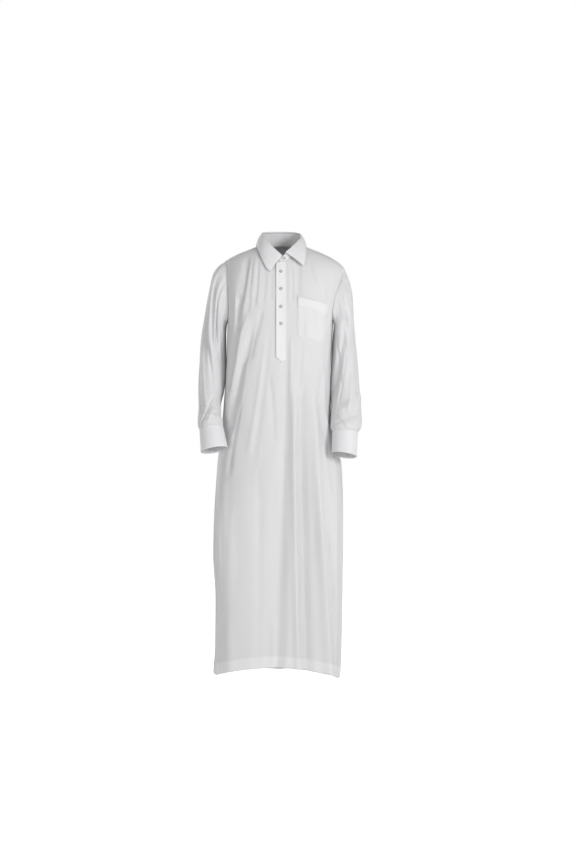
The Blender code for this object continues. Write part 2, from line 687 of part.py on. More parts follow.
def panel(name, places, material, armhole_rows, hole=None):
    """A front or back panel from its angles and ways; rows at the top meet the sleeves."""
    points = [[body(*place) for place in row] for row in places]
    outs = [[body_out(*place) for place in row] for row in places]
    for r, round_angle in enumerate(armhole_rows):
        outs[r][0] = armhole_out(-1, round_angle)
        outs[r][-1] = armhole_out(1, round_angle)
    points, outs = trimmed(points, outs, ("top", "left", "right"))
    inner = []
    for r, row in enumerate(points):
        depth = HEM_CLOTH if r == len(points) - 1 else CLOTH
        inner.append([point - out * depth for point, out in zip(row, outs[r])])
    return wall(name, points, inner, material, hole=hole)


# Pieces

def front_places():
    """Angle and way of each corner of the front's grid."""
    stations = ARMHOLE[YOKE_FRONT_STATION:]
    tops = []
    for side in (-1, 1):
        seam = front_seam(side)
        neck = [neck_place(angle) for angle in front_columns(side)]
        half = seam + neck[1:]
        tops.append(half if side < 0 else half[::-1])
    middle = neck_place((front_columns(-1)[-1] + front_columns(1)[-1]) / 2.0)
    top = tops[0] + [middle] + tops[1]
    window = len(tops[0]) - 1
    places = []
    for row in stations:
        drop = row.turn / stations[0].turn
        places.append([])
        for c, (reach, spread) in enumerate(top):
            left = c <= window + 1
            edge = armhole_place(-1 if left else 1, row.round)[0]
            if c in (window, window + 1, window + 2):
                edge_part = 1.0
            elif left:
                even = c / window
                first, last = top[0][0], top[window][0]
                edge_part = mix(even, (reach - first) / (last - first), drop)
            else:
                even = (len(top) - 1 - c) / window
                first, last = top[-1][0], top[window + 2][0]
                edge_part = mix(even, (reach - first) / (last - first), drop)
            turn = (90.0 + spread) * drop
            inner_x = (WINDOW_LEFT, (WINDOW_LEFT + WINDOW_RIGHT) / 2.0, WINDOW_RIGHT)
            inner_side = inner_x[min(max(c - window, 0), 2)]
            inner_reach = inner_side / half_width(inner_side, turn)
            now = mix(edge, inner_reach, edge_part)
            places[-1].append(over_shoulder(now, turn - 90.0))
    for way in skirt_ways():
        z = mix(UNDERARM, hem_height(0.0), way - 1.0)
        left_inner = math.degrees(math.asin(WINDOW_LEFT / RING["left"](z)))
        right_inner = math.degrees(math.asin(WINDOW_RIGHT / RING["right"](z)))
        shares = [crowded(k / window) for k in range(window + 1)]
        row = [(mix(left_inner, -90.0, share), way) for share in reversed(shares)]
        row.append(((left_inner + right_inner) / 2.0, way))
        row += [(mix(right_inner, 90.0, share), way) for share in shares]
        places.append(row)
    return places, window


def even_to_skirt(places, window):
    """Eases the last row over the underarm into the skirt's even columns."""
    stations = len(ARMHOLE) - YOKE_FRONT_STATION
    for r in range(stations):
        part = r / (stations - 1)
        goal = places[stations]
        for c, (angle, way) in enumerate(places[r]):
            if 0 < c < len(places[r]) - 1 and c not in (window, window + 1, window + 2):
                edge = places[r][0 if c < window else -1][0]
                inner = places[r][window if c < window else window + 2][0]
                goal_edge = goal[0 if c < window else -1][0]
                goal_inner = goal[window if c < window else window + 2][0]
                share = (goal[c][0] - goal_edge) / (goal_inner - goal_edge)
                even = mix(edge, inner, share)
                places[r][c] = (mix(angle, even, ease(part)), way)
    return places


def make_front(cloth):
    places, window = front_places()
    places = even_to_skirt(places, window)
    rows = len(ARMHOLE) - YOKE_FRONT_STATION
    armhole_rows = [row.round for row in ARMHOLE[YOKE_FRONT_STATION:]]

    def in_window(r, c):
        return r < rows - 1 + WINDOW_ROWS and window <= c < window + 2

    panel("front", places, cloth, armhole_rows, in_window)
    return places, window


def back_angle(part, start, end):
    off = abs(part * 2.0 - 1.0)
    share = math.copysign(crowded(off), part * 2.0 - 1.0)
    return mix(start, end, (share + 1.0) / 2.0)


def make_back(cloth):
    seam = back_seam()
    stations = ARMHOLE[YOKE_BACK_STATION:]
    places = []
    for row in stations:
        drop = row.turn / stations[0].turn
        left = over_shoulder(*armhole_place(-1, -row.round))[0]
        right = over_shoulder(*armhole_place(1, -row.round))[0]
        left += 360.0 if left < 0.0 else 0.0
        line = []
        for k, (reach, spread) in enumerate(seam):
            part = k / BACK_COLUMNS
            start = over_shoulder(reach, spread)[0]
            even = back_angle(part, left, right)
            angle = mix(even, start, drop) if 0 < k < BACK_COLUMNS else even
            line.append((angle, 1.0 - (90.0 - spread) * drop / 90.0))
        places.append(line)
    for way in skirt_ways():
        places.append([(back_angle(k / BACK_COLUMNS, 270.0, 90.0), way) for k in range(BACK_COLUMNS + 1)])
    panel("back", places, cloth, [-row.round for row in stations])


def make_yoke(cloth):
    """The yoke lies over both shoulders, between the neck and the two sleeves."""
    outline = []
    for station in range(YOKE_FRONT_STATION, 0, -1):
        outline.append((armhole_place(-1, ARMHOLE[station].round), ("arm", -1, ARMHOLE[station].round)))
    for station in range(0, YOKE_BACK_STATION + 1):
        outline.append((armhole_place(-1, -ARMHOLE[station].round), ("arm", -1, -ARMHOLE[station].round)))
    outline += [(place, None) for place in back_seam()[1:-1]]
    for station in range(YOKE_BACK_STATION, -1, -1):
        outline.append((armhole_place(1, -ARMHOLE[station].round), ("arm", 1, -ARMHOLE[station].round)))
    for station in range(1, YOKE_FRONT_STATION + 1):
        outline.append((armhole_place(1, ARMHOLE[station].round), ("arm", 1, ARMHOLE[station].round)))
    last = len(outline) - 1
    steps = FRONT_SIDE_COLUMNS
    columns = []
    outs = []
    for k, (place, seam) in enumerate(outline):
        neck = neck_place(mix(-NECK_CORNER, -360.0 + NECK_CORNER, k / last))
        line = []
        for j in range(steps + 1):
            line.append((mix(place[0], neck[0], j / steps), mix(place[1], neck[1], j / steps)))
        places = [over_shoulder(*item) for item in line]
        columns.append([body(*item) for item in places])
        outs.append([body_out(*item) for item in places])
        if seam:
            outs[-1][0] = armhole_out(seam[1], seam[2])
    points, outs = trimmed(columns, outs, ("top", "bottom", "left", "right"))
    wall("yoke", points, offset(points, outs, -CLOTH), cloth)


def sleeve_rounds():
    half = [row.round for row in ARMHOLE]
    return [-angle for angle in reversed(half[1:-1])] + half


def make_sleeve(name, side, cloth):
    rounds = sleeve_rounds()
    points, inner = [], []
    for k in range(SLEEVE_ROWS + 1):
        along = k / SLEEVE_ROWS
        if k == 0:
            row = []
            outs = [armhole_out(side, angle) for angle in rounds]
            for angle in rounds:
                start = sleeve(side, angle, 0.0)
                way = (sleeve(side, angle, 2.0 * PROBE_ALONG) - start).normalized()
                row.append(start + way * SEAM_GAP / 2.0)
        else:
            row = [sleeve(side, angle, along) for angle in rounds]
            outs = [sleeve_out(side, angle, along) for angle in rounds]
        points.append(row)
        inner.append([point - out * CLOTH for point, out in zip(row, outs)])
    wall(name, points, inner, cloth, ring=True)


def cuff_place(side, round_angle, along):
    """Place on the cuff's outer side and the way out; the band winds down from its opening."""
    table = CUFFS[side]
    after = tube_point(table, round_angle + PROBE_ROUND, along)
    ahead = after - tube_point(table, round_angle - PROBE_ROUND, along)
    down = tube_point(table, round_angle, 1.0) - tube_point(table, round_angle, 0.0)
    out = (ahead.cross(down) * side).normalized()
    lap = ease((CUFF_OPENING - round_angle - CUFF_LIFT_START) / CUFF_LIFT_REACH)
    return tube_point(table, round_angle, along) + out * lap * (BAND + LAID_GAP), out


def make_cuff(name, side, cloth):
    """A band wound once round the wrist, its end lapped over its start."""
    points, inner = [], []
    for along in (0.0, 0.5, 1.0):
        row, in_row = [], []
        for k in range(CUFF_STEPS + 1):
            angle = CUFF_OPENING - mix(0.0, 360.0 + CUFF_LAP, k / CUFF_STEPS)
            place, out = cuff_place(side, angle, along)
            row.append(place)
            in_row.append(place - out * BAND)
        points.append(row)
        inner.append(in_row)
    wall(name, points, inner, cloth)


FOLD = curves(FOLD_LINE, "round")
EDGE = curves(LEAF_EDGE, "round")


def fold_point(round_angle):
    at = round_angle % 360.0
    return Vector((FOLD["x"](at), FOLD["y"](at), FOLD["z"](at)))


def neck_out(place):
    return Vector((place.x, place.y - NECK_MIDDLE, 0.0)).normalized()


def stand_point(round_angle, part):
    """The stand's outer side; part 0 is the neck seam and 1 the fold line."""
    neck = body(*over_shoulder(*neck_place(-round_angle)))
    place = neck.lerp(fold_point(round_angle), part)
    lap = ease((round_angle - STAND_LAP_START) / (STAND_LAP_FULL - STAND_LAP_START))
    return place + neck_out(place) * lap * (BAND + LAID_GAP)


def make_stand(cloth):
    points, inner = [], []
    for part in STAND_ROWS:
        row, in_row = [], []
        for angle in range(STAND_UNDER_END, STAND_OVER_END + 1, COLLAR_STEP):
            lower = STAND_ROUNDING * max(part - 0.5, 0.0) * 2.0
            now = part - lower * ease((angle - STAND_LAP_FULL) / STAND_ROUNDING_REACH)
            place = stand_point(angle, now)
            ahead = stand_point(angle + PROBE_ROUND, now) - stand_point(angle - PROBE_ROUND, now)
            out = ahead.cross(stand_point(angle, 1.0) - stand_point(angle, 0.0)).normalized()
            out = out if out.dot(neck_out(place)) > 0.0 else -out
            row.append(place)
            in_row.append(place - out * BAND)
        points.append(row)
        inner.append(in_row)
    wall("collar_stand", points, inner, cloth)


def leaf_section(round_angle):
    """One section of the collar's leaf, from the stand's top over to its free edge."""
    top = stand_point(round_angle, 1.0)
    out = neck_out(top)
    under_lap = (BAND + LAID_GAP) * (1.0 - ease((round_angle - LEAF_LAP_START) / LEAF_LAP_REACH))
    section = []
    for outward, up in TURN_OVER:
        reach = outward + (under_lap if outward > 0.0 else 0.0)
        section.append(top + out * reach + Vector((0.0, 0.0, up)))
    place = over_shoulder(*seen_from_above(EDGE["x"](round_angle), EDGE["y"](round_angle)))
    edge = body(*place) + body_out(*place) * (EDGE["lift"](round_angle) + BAND)
    shoulder = section[-1]
    for k in range(1, LEAF_ROWS + 1):
        part = k / LEAF_ROWS
        puff = LEAF_PUFF * math.sin(math.pi * part * LEAF_PUFF_REACH)
        section.append(shoulder.lerp(edge, part) + (out + Vector((0.0, 0.0, 1.0))) * puff * LEAF_PUFF_LEAN)
    return section


def make_fall(cloth):
    rounds = range(LEAF_EDGE[0].round, LEAF_EDGE[-1].round + 1, COLLAR_STEP)
    points = [list(row) for row in zip(*[leaf_section(angle) for angle in rounds])]
    inner = []
    rows, columns = len(points), len(points[0])
    for r in range(rows):
        inner.append([])
        for c in range(columns):
            down = points[min(r + 1, rows - 1)][c] - points[max(r - 1, 0)][c]
            around = points[r][min(c + 1, columns - 1)] - points[r][max(c - 1, 0)]
            out = around.cross(down).normalized()
            inner[-1].append(points[r][c] - out * BAND)
    wall("collar_fall", points, inner, cloth)


def make_plackets(places, window, cloth):
    """The under strip in the front's window and the upper strip over it."""
    last = len(ARMHOLE) - YOKE_FRONT_STATION - 1 + WINDOW_ROWS
    rows = [row[window:window + 3] for row in places[:last + 1]]
    points = [[body(*place) for place in row] for row in rows]
    outs = [[body_out(*place) for place in row] for row in rows]
    under, outs = trimmed(points, outs, ("top", "bottom", "left", "right"), SEAM_GAP * 1.5)
    wall("placket_under", under, offset(under, outs, -CLOTH), cloth)
    spread = 2.0 * PLACKET_LAP / (WINDOW_RIGHT - WINDOW_LEFT)
    wide = []
    for left, middle, right in rows:
        before = tuple(mix(m, l, 1.0 + spread) for l, m in zip(left, middle))
        after = tuple(mix(m, r, 1.0 + spread) for r, m in zip(right, middle))
        wide.append([before, left, middle, right, after])
    drops = [PLACKET_CORNER_LEFT] * 2 + [PLACKET_TIP] + [PLACKET_CORNER_RIGHT] * 2
    length = UNDERARM - hem_height(0.0)
    wide.append([(angle, way + drop / length) for (angle, way), drop in zip(wide[-1], drops)])
    points = [[body(*place) for place in row] for row in wide]
    outs = [[body_out(*place) for place in row] for row in wide]
    points, outs = trimmed(points, outs, ("top",), PLACKET_TOP_TRIM)
    wall("placket_upper", offset(points, outs, LAID_GAP + BAND), offset(points, outs, LAID_GAP), cloth)


def pocket_place(across, down):
    """X and Z of a place of the pocket; its lower corners are cut."""
    off = abs(across * 2.0 - 1.0) - POCKET_CUT_ACROSS
    cut = POCKET_CORNER_CUT * max(off, 0.0) / (1.0 - POCKET_CUT_ACROSS)
    down = down * (1.0 - cut * ease((down - POCKET_CUT_DOWN) / (1.0 - POCKET_CUT_DOWN)))
    top = [mix(a, b, across) for a, b in zip(POCKET_TOP_LEFT, POCKET_TOP_RIGHT)]
    bottom = [mix(a, b, across) for a, b in zip(POCKET_BOTTOM_LEFT, POCKET_BOTTOM_RIGHT)]
    return [mix(a, b, down) for a, b in zip(top, bottom)]


def make_pocket(cloth):
    """The pocket lies on the front; its top edge is a doubled band."""
    outer, inner = [], []
    for r, down in enumerate(POCKET_ROWS):
        places = [on_front(*pocket_place(c / POCKET_COLUMNS, down)) for c in range(POCKET_COLUMNS + 1)]
        thick = CLOTH + (POCKET_BAND_EXTRA if r <= POCKET_BAND_ROW else 0.0)
        outer.append([body(*p) + body_out(*p) * (POCKET_GAP + thick) for p in places])
        inner.append([body(*p) + body_out(*p) * POCKET_GAP for p in places])
    wall("pocket", outer, inner, cloth)


def make_button(name, place, out, pearl):
    """A turned button, its axis along the way out of the cloth."""
    radius, rim = BUTTON_RADIUS, BUTTON_RIM
    profile = (
        (0.0, BUTTON_THICK - BUTTON_DISH),
        (radius * BUTTON_WELL, BUTTON_THICK - BUTTON_DISH),
        (radius - rim * 1.2, BUTTON_THICK),
        (radius, BUTTON_THICK - rim * 0.6),
        (radius, rim * 0.6),
        (radius - rim, 0.0),
        (0.0, 0.0),
    )
    mesh = bpy.data.meshes.new(name)
    edges = [(k, k + 1) for k in range(len(profile) - 1)]
    mesh.from_pydata([(x, 0.0, z) for x, z in profile], edges, [])
    item = new_object(name, mesh, pearl)
    turn = item.modifiers.new("turn", "SCREW")
    turn.steps = turn.render_steps = BUTTON_SIDES
    turn.use_merge_vertices = True
    turn.merge_threshold = MERGE_DISTANCE
    item.matrix_world = Matrix.Translation(place) @ out.to_track_quat("Z", "Y").to_matrix().to_4x4()


def make_buttons(pearl):
    lift = LAID_GAP + BAND + SEAM_GAP
    for number, height in enumerate(BUTTON_HEIGHTS, 1):
        place = on_front(BUTTON_ACROSS, height)
        out = body_out(*place)
        make_button("button_%d" % number, body(*place) + out * lift, out, pearl)
    for name, side in (("button_cuff_left", 1), ("button_cuff_right", -1)):
        place, out = cuff_place(side, CUFF_OPENING - 360.0 - CUFF_LAP * CUFF_BUTTON_LAP, CUFF_BUTTON_ALONG)
        make_button(name, place + out * SEAM_GAP * 2.0, out, pearl)
    place = stand_point(COLLAR_BUTTON_ROUND, COLLAR_BUTTON_HEIGHT)
    height = COLLAR_BUTTON_HEIGHT
    after = stand_point(COLLAR_BUTTON_ROUND + PROBE_ROUND, height)
    ahead = after - stand_point(COLLAR_BUTTON_ROUND - PROBE_ROUND, height)
    up = stand_point(COLLAR_BUTTON_ROUND, 1.0) - stand_point(COLLAR_BUTTON_ROUND, 0.0)
    out = ahead.cross(up).normalized()
    out = out if out.y < 0.0 else -out
    make_button("button_collar", place + out * SEAM_GAP * 2.0, out, pearl)


def material(name, colour, roughness):
    item = bpy.data.materials.new(name)
    item.use_nodes = True
    shader = item.node_tree.nodes["Principled BSDF"]
    shader.inputs["Base Color"].default_value = (*colour, 1.0)
    shader.inputs["Roughness"].default_value = roughness
    shader.inputs["Metallic"].default_value = 0.0
    return item


def collection():
    found = bpy.data.collections.get("kaftan")
    if found is None:
        found = bpy.data.collections.new("kaftan")
        bpy.context.scene.collection.children.link(found)
    return found


def main():
    for item in list(bpy.data.objects):
        bpy.data.objects.remove(item)
    cloth = material("white_cloth", WHITE_CLOTH, CLOTH_ROUGHNESS)
    pearl = material("button_pearl", BUTTON_PEARL, BUTTON_ROUGHNESS)
    places, window = make_front(cloth)
    make_back(cloth)
    make_yoke(cloth)
    make_sleeve("sleeve_left", 1, cloth)
    make_sleeve("sleeve_right", -1, cloth)
    make_cuff("cuff_left", 1, cloth)
    make_cuff("cuff_right", -1, cloth)
    make_stand(cloth)
    make_fall(cloth)
    make_plackets(places, window, cloth)
    make_pocket(cloth)
    make_buttons(pearl)


main()
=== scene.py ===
import math
from bisect import bisect_right
from collections import namedtuple
from functools import lru_cache

import bpy
import numpy as np
from mathutils import Matrix, Vector, noise


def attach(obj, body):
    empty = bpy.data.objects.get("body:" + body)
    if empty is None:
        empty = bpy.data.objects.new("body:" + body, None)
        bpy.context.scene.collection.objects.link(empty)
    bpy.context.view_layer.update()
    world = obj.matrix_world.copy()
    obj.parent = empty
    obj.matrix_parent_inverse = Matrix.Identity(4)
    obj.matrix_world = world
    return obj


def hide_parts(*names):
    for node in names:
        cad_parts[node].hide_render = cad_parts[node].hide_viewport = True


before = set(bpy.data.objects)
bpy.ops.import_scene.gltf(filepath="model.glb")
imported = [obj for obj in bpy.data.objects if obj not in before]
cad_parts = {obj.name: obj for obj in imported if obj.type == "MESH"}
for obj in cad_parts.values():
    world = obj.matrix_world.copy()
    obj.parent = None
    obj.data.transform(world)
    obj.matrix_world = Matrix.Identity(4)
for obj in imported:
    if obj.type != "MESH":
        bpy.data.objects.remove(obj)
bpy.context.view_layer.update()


def rows_of(kind, rows):
    return tuple(kind(*row) for row in rows)


# The robe's looks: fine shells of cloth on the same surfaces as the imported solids, with
# creases, stitched lines and buttons. Metres, +Z up, the front faces -Y, +X is the
# wearer's left.

# Cloth and seams
CLOTH = 0.0012
BAND = 0.0016
HEM_CLOTH = 0.0022
LAID_GAP = 0.0006

# Heights
UNDERARM = -0.250
HEM_LEFT = -1.443
HEM_RIGHT = -1.454
HEM_LIFT_FRONT = 0.044
HEM_LIFT_POWER = 1.5
HEM_DROP_BACK = 0.004

# Neck opening, seen from above
NECK_HALF = 0.069
NECK_MIDDLE = -0.008
NECK_FRONT = 0.090
NECK_BACK = 0.074
NECK_CORNER = 77.0
NAPE_RISE = 0.022
NAPE_HALF = 0.075

# Body over the shoulders
SHOULDER_LEFT_EDGE = 0.190
SHOULDER_RIGHT_EDGE = 0.218
FRONT_TURN_POWER = 2.1
BACK_TURN_POWER = 2.5

# Half placket: a window in the front, filled by the under strip, covered by the upper one
WINDOW_LEFT = -0.012
WINDOW_RIGHT = 0.014
WINDOW_BOTTOM = -0.372
PLACKET_LAP = 0.003
PLACKET_TOP_TRIM = 0.0018
PLACKET_CORNER_LEFT = 0.007
PLACKET_TIP = 0.020
PLACKET_CORNER_RIGHT = 0.015
PLACKET_CORNER_AT = 0.82
PLACKET_UNDER_REACH = 0.97
PLACKET_REACH = 1.0 + 2.0 * PLACKET_LAP / (WINDOW_RIGHT - WINDOW_LEFT)

# Columns across the panels, closer together at the sides
FRONT_SIDE_COLUMNS = 6
FRONT_NECK_COLUMNS = 6
BACK_COLUMNS = 24
SIDE_CROWDING = 1.25

# Half sizes of the body at each height; squareness rounds the corners of the ring
Ring = namedtuple("Ring", "height left right front back square")
RINGS = rows_of(Ring, (
    (-0.250, 0.180, 0.176, 0.135, 0.124, 3.0),
    (-0.330, 0.1825, 0.1715, 0.137, 0.122, 2.9),
    (-0.430, 0.1860, 0.1660, 0.139, 0.120, 2.8),
    (-0.530, 0.1930, 0.1670, 0.141, 0.122, 2.7),
    (-0.640, 0.2030, 0.1780, 0.144, 0.128, 2.5),
    (-0.742, 0.215, 0.205, 0.147, 0.134, 2.6),
    (-0.860, 0.221, 0.208, 0.150, 0.138, 3.6),
    (-1.020, 0.226, 0.207, 0.154, 0.142, 4.0),
    (-1.190, 0.219, 0.205, 0.158, 0.146, 3.8),
    (-1.330, 0.220, 0.203, 0.161, 0.150, 3.6),
    (-1.460, 0.226, 0.197, 0.164, 0.154, 3.6),
))

# Height of the shoulder ridge, outward from the middle
Ridge = namedtuple("Ridge", "across height")
RIDGE = rows_of(Ridge, (
    (0.000, 0.022),
    (0.070, 0.007),
    (0.100, -0.004),
    (0.135, -0.018),
    (0.170, -0.035),
    (0.200, -0.0545),
    (0.212, -0.067),
    (0.225, -0.089),
))

# Armhole seam: round goes from the shoulder, 0, to the underarm, 180; turn is how far
# the cloth lies over the shoulder; the reaches are parts of the body's half width
Armhole = namedtuple("Armhole", "round turn front_left front_right back")
ARMHOLE = rows_of(Armhole, (
    (0, 90, 1.000, 1.000, 1.000),
    (18, 78, 0.990, 0.996, 0.985),
    (36, 66, 0.979, 0.992, 0.970),
    (54, 54, 0.972, 0.988, 0.955),
    (72, 43, 0.967, 0.983, 0.942),
    (90, 33, 0.964, 0.972, 0.935),
    (108, 24, 0.963, 0.958, 0.935),
    (126, 16, 0.963, 0.948, 0.940),
    (144, 9, 0.967, 0.952, 0.950),
    (160, 4, 0.978, 0.970, 0.970),
    (171, 1, 0.991, 0.990, 0.990),
    (180, 0, 1.000, 1.000, 1.000),
))
YOKE_FRONT_STATION = 1
YOKE_BACK_STATION = 3

# Folds: a ridge has a depth above 0, a trough below 0; across is X, or Y on the sides
Fold = namedtuple("Fold", "across_top height_top across_bottom height_bottom bow width depth")
FOLD_WIDTH_TOP = 0.8
FOLD_WIDTH_BOTTOM = 1.3
FOLD_REACH = 3.0
FOLD_FADE_IN = 0.25
FOLD_FADE_OUT = 0.15
SIDE_COSINE = 0.18
SIDE_BLEND = 0.35
FRONT_FOLDS = rows_of(Fold, (
    (0.044, -0.400, 0.067, -1.600, -0.007, 0.012, 0.0120),
    (0.071, -0.300, 0.090, -1.600, -0.006, 0.015, -0.0150),
    (0.100, -0.360, 0.170, -1.600, -0.004, 0.015, 0.0130),
    (0.020, -0.260, -0.026, -1.600, 0.006, 0.017, -0.0100),
    (-0.095, -0.820, -0.105, -1.600, 0.000, 0.055, 0.0070),
    (-0.020, -0.700, -0.030, -1.600, 0.000, 0.018, -0.0045),
    (-0.088, -0.240, -0.180, -0.660, -0.006, 0.013, -0.0100),
    (-0.107, -0.220, -0.178, -0.560, -0.006, 0.011, 0.0075),
    (-0.139, -0.140, -0.184, -0.520, 0.006, 0.012, -0.0080),
    (-0.060, -0.200, -0.112, -0.400, 0.000, 0.011, -0.0050),
    (-0.110, -0.020, -0.140, -0.210, 0.000, 0.010, -0.0050),
    (-0.085, -0.030, -0.098, -0.190, 0.000, 0.009, 0.0035),
    (0.058, -0.040, 0.058, -0.180, 0.000, 0.010, -0.0038),
    (-0.176, -0.700, -0.190, -1.600, 0.004, 0.016, -0.0060),
    (0.140, -0.960, 0.166, -1.220, 0.002, 0.0045, 0.0050),
    (0.150, -0.930, 0.178, -1.250, 0.002, 0.0070, -0.0045),
    (0.104, -0.640, 0.161, -1.600, 0.002, 0.0090, 0.0065),
    (0.072, -0.600, 0.099, -1.600, 0.000, 0.0100, -0.0060),
    (0.062, -0.600, 0.081, -1.600, 0.000, 0.0050, 0.0060),
    (0.048, -0.500, 0.0745, -1.600, 0.000, 0.0080, -0.0060),
    (-0.022, -1.200, -0.036, -1.600, 0.002, 0.0080, 0.0050),
    (-0.046, -1.180, -0.056, -1.600, 0.002, 0.0120, -0.0030),
    (0.030, -0.900, 0.014, -1.600, 0.004, 0.0120, 0.0030),
    (-0.074, -0.700, -0.080, -1.600, 0.006, 0.0120, -0.0036),
    (-0.176, -0.780, -0.186, -1.600, 0.004, 0.0220, 0.0100),
    (-0.205, -0.780, -0.207, -1.600, 0.004, 0.0060, 0.0055),
    (0.187, -0.700, 0.184, -1.600, -0.003, 0.0055, 0.0055),
    (-0.098, -0.250, -0.165, -0.500, -0.004, 0.0050, 0.0036),
    (-0.121, -0.300, -0.178, -0.600, 0.004, 0.0060, -0.0040),
    (-0.066, -0.200, -0.136, -0.540, -0.004, 0.0055, 0.0036),
    (-0.078, -0.240, -0.142, -0.540, 0.003, 0.0055, -0.0030),
    (-0.048, -0.290, -0.112, -0.720, 0.004, 0.0070, 0.0026),
    (-0.036, -0.270, -0.098, -0.760, 0.004, 0.0085, -0.0024),
    (-0.150, -0.150, -0.160, -0.320, 0.002, 0.0045, 0.0046),
    (-0.143, -0.160, -0.150, -0.330, 0.002, 0.0045, -0.0042),
    (-0.106, -0.030, -0.146, -0.260, 0.002, 0.0048, -0.0026),
    (-0.097, -0.030, -0.130, -0.250, 0.002, 0.0045, 0.0022),
    (-0.092, -0.030, -0.112, -0.240, 0.003, 0.0042, -0.0024),
    (-0.075, -0.040, -0.090, -0.220, 0.003, 0.0042, -0.0022),
    (-0.068, -0.040, -0.078, -0.210, 0.003, 0.0040, 0.0017),
    (-0.052, -0.070, -0.060, -0.210, 0.002, 0.0042, -0.0022),
    (-0.030, -0.090, -0.034, -0.200, -0.001, 0.0046, -0.0020),
    (0.036, -0.070, 0.036, -0.200, 0.002, 0.0045, -0.0024),
    (0.030, -0.090, 0.030, -0.220, 0.000, 0.0042, 0.0013),
    (0.084, -0.040, 0.112, -0.130, 0.004, 0.0050, -0.0028),
    (0.099, -0.045, 0.128, -0.140, 0.004, 0.0046, 0.0020),
    (0.150, -0.080, 0.157, -0.180, 0.003, 0.0055, -0.0029),
    (0.160, -0.110, 0.150, -0.280, 0.003, 0.0055, -0.0044),
    (0.152, -0.320, 0.120, -0.540, 0.006, 0.0060, -0.0046),
    (0.144, -0.340, 0.152, -0.640, -0.004, 0.0055, 0.0040),
    (0.078, -0.345, 0.066, -0.520, 0.003, 0.0055, 0.0036),
    (0.034, -0.300, 0.032, -0.520, 0.000, 0.0050, 0.0030),
    (-0.040, -0.420, -0.020, -0.680, 0.003, 0.0090, -0.0036),
    (-0.130, -0.520, -0.176, -0.780, -0.004, 0.0065, -0.0050),
    (0.120, -0.540, 0.186, -0.860, 0.006, 0.0075, -0.0046),
    (0.132, -0.520, 0.192, -0.820, 0.006, 0.0055, 0.0036),
))
BACK_FOLDS = rows_of(Fold, (
    (-0.020, -0.120, -0.010, -1.600, 0.006, 0.016, -0.0060),
    (0.030, -0.300, 0.040, -1.600, -0.006, 0.020, 0.0075),
    (0.085, -0.180, 0.090, -1.600, 0.008, 0.022, -0.0090),
    (0.135, -0.500, 0.145, -1.600, 0.000, 0.018, 0.0065),
    (-0.070, -0.240, -0.066, -1.600, -0.008, 0.020, 0.0070),
    (-0.115, -0.160, -0.118, -1.600, 0.006, 0.022, -0.0090),
    (-0.160, -0.620, -0.168, -1.600, 0.000, 0.017, 0.0060),
    (-0.050, -0.080, -0.040, -0.420, 0.004, 0.0060, -0.0025),
    (0.052, -0.090, 0.058, -0.460, -0.004, 0.0060, -0.0025),
    (0.105, -0.150, 0.075, -0.560, 0.006, 0.0060, 0.0040),
    (-0.104, -0.130, -0.080, -0.520, -0.006, 0.0060, 0.0040),
    (0.140, -0.240, 0.110, -0.620, 0.004, 0.0070, -0.0048),
    (-0.142, -0.240, -0.110, -0.600, -0.004, 0.0070, -0.0048),
    (0.010, -0.560, 0.012, -1.600, 0.004, 0.0080, 0.0044),
    (0.060, -0.640, 0.066, -1.600, -0.004, 0.0070, -0.0044),
    (0.112, -0.760, 0.120, -1.600, 0.004, 0.0070, 0.0044),
    (-0.044, -0.620, -0.040, -1.600, -0.004, 0.0070, -0.0044),
    (-0.094, -0.700, -0.092, -1.600, 0.004, 0.0065, 0.0044),
    (-0.140, -0.820, -0.142, -1.600, -0.004, 0.0070, -0.0046),
    (0.165, -0.860, 0.170, -1.600, 0.002, 0.0065, 0.0044),
    (0.190, -0.780, 0.192, -1.600, 0.000, 0.0060, -0.0040),
    (-0.188, -0.760, -0.196, -1.600, 0.000, 0.0060, 0.0042),
))
MINUS_X_FOLDS = rows_of(Fold, (
    (-0.050, -0.700, -0.064, -1.600, 0.000, 0.022, -0.0080),
    (0.004, -0.720, 0.000, -1.600, 0.000, 0.016, 0.0030),
    (0.052, -0.690, 0.062, -1.600, 0.004, 0.022, -0.0080),
    (-0.026, -0.760, -0.030, -1.600, 0.002, 0.0070, 0.0044),
    (0.026, -0.820, 0.030, -1.600, -0.002, 0.0070, -0.0042),
    (-0.084, -0.780, -0.092, -1.600, 0.002, 0.0070, 0.0046),
    (0.086, -0.760, 0.092, -1.600, 0.002, 0.0070, 0.0042),
))
PLUS_X_FOLDS = rows_of(Fold, (
    (-0.044, -0.700, -0.056, -1.600, 0.000, 0.020, -0.0080),
    (0.010, -0.740, 0.004, -1.600, 0.000, 0.016, 0.0030),
    (0.060, -0.700, 0.058, -1.600, -0.004, 0.024, -0.0085),
    (-0.020, -0.780, -0.026, -1.600, 0.002, 0.0070, 0.0044),
    (0.034, -0.800, 0.032, -1.600, -0.002, 0.0070, -0.0042),
    (-0.082, -0.760, -0.090, -1.600, 0.002, 0.0070, 0.0046),
    (0.088, -0.800, 0.094, -1.600, 0.002, 0.0070, 0.0042),
))

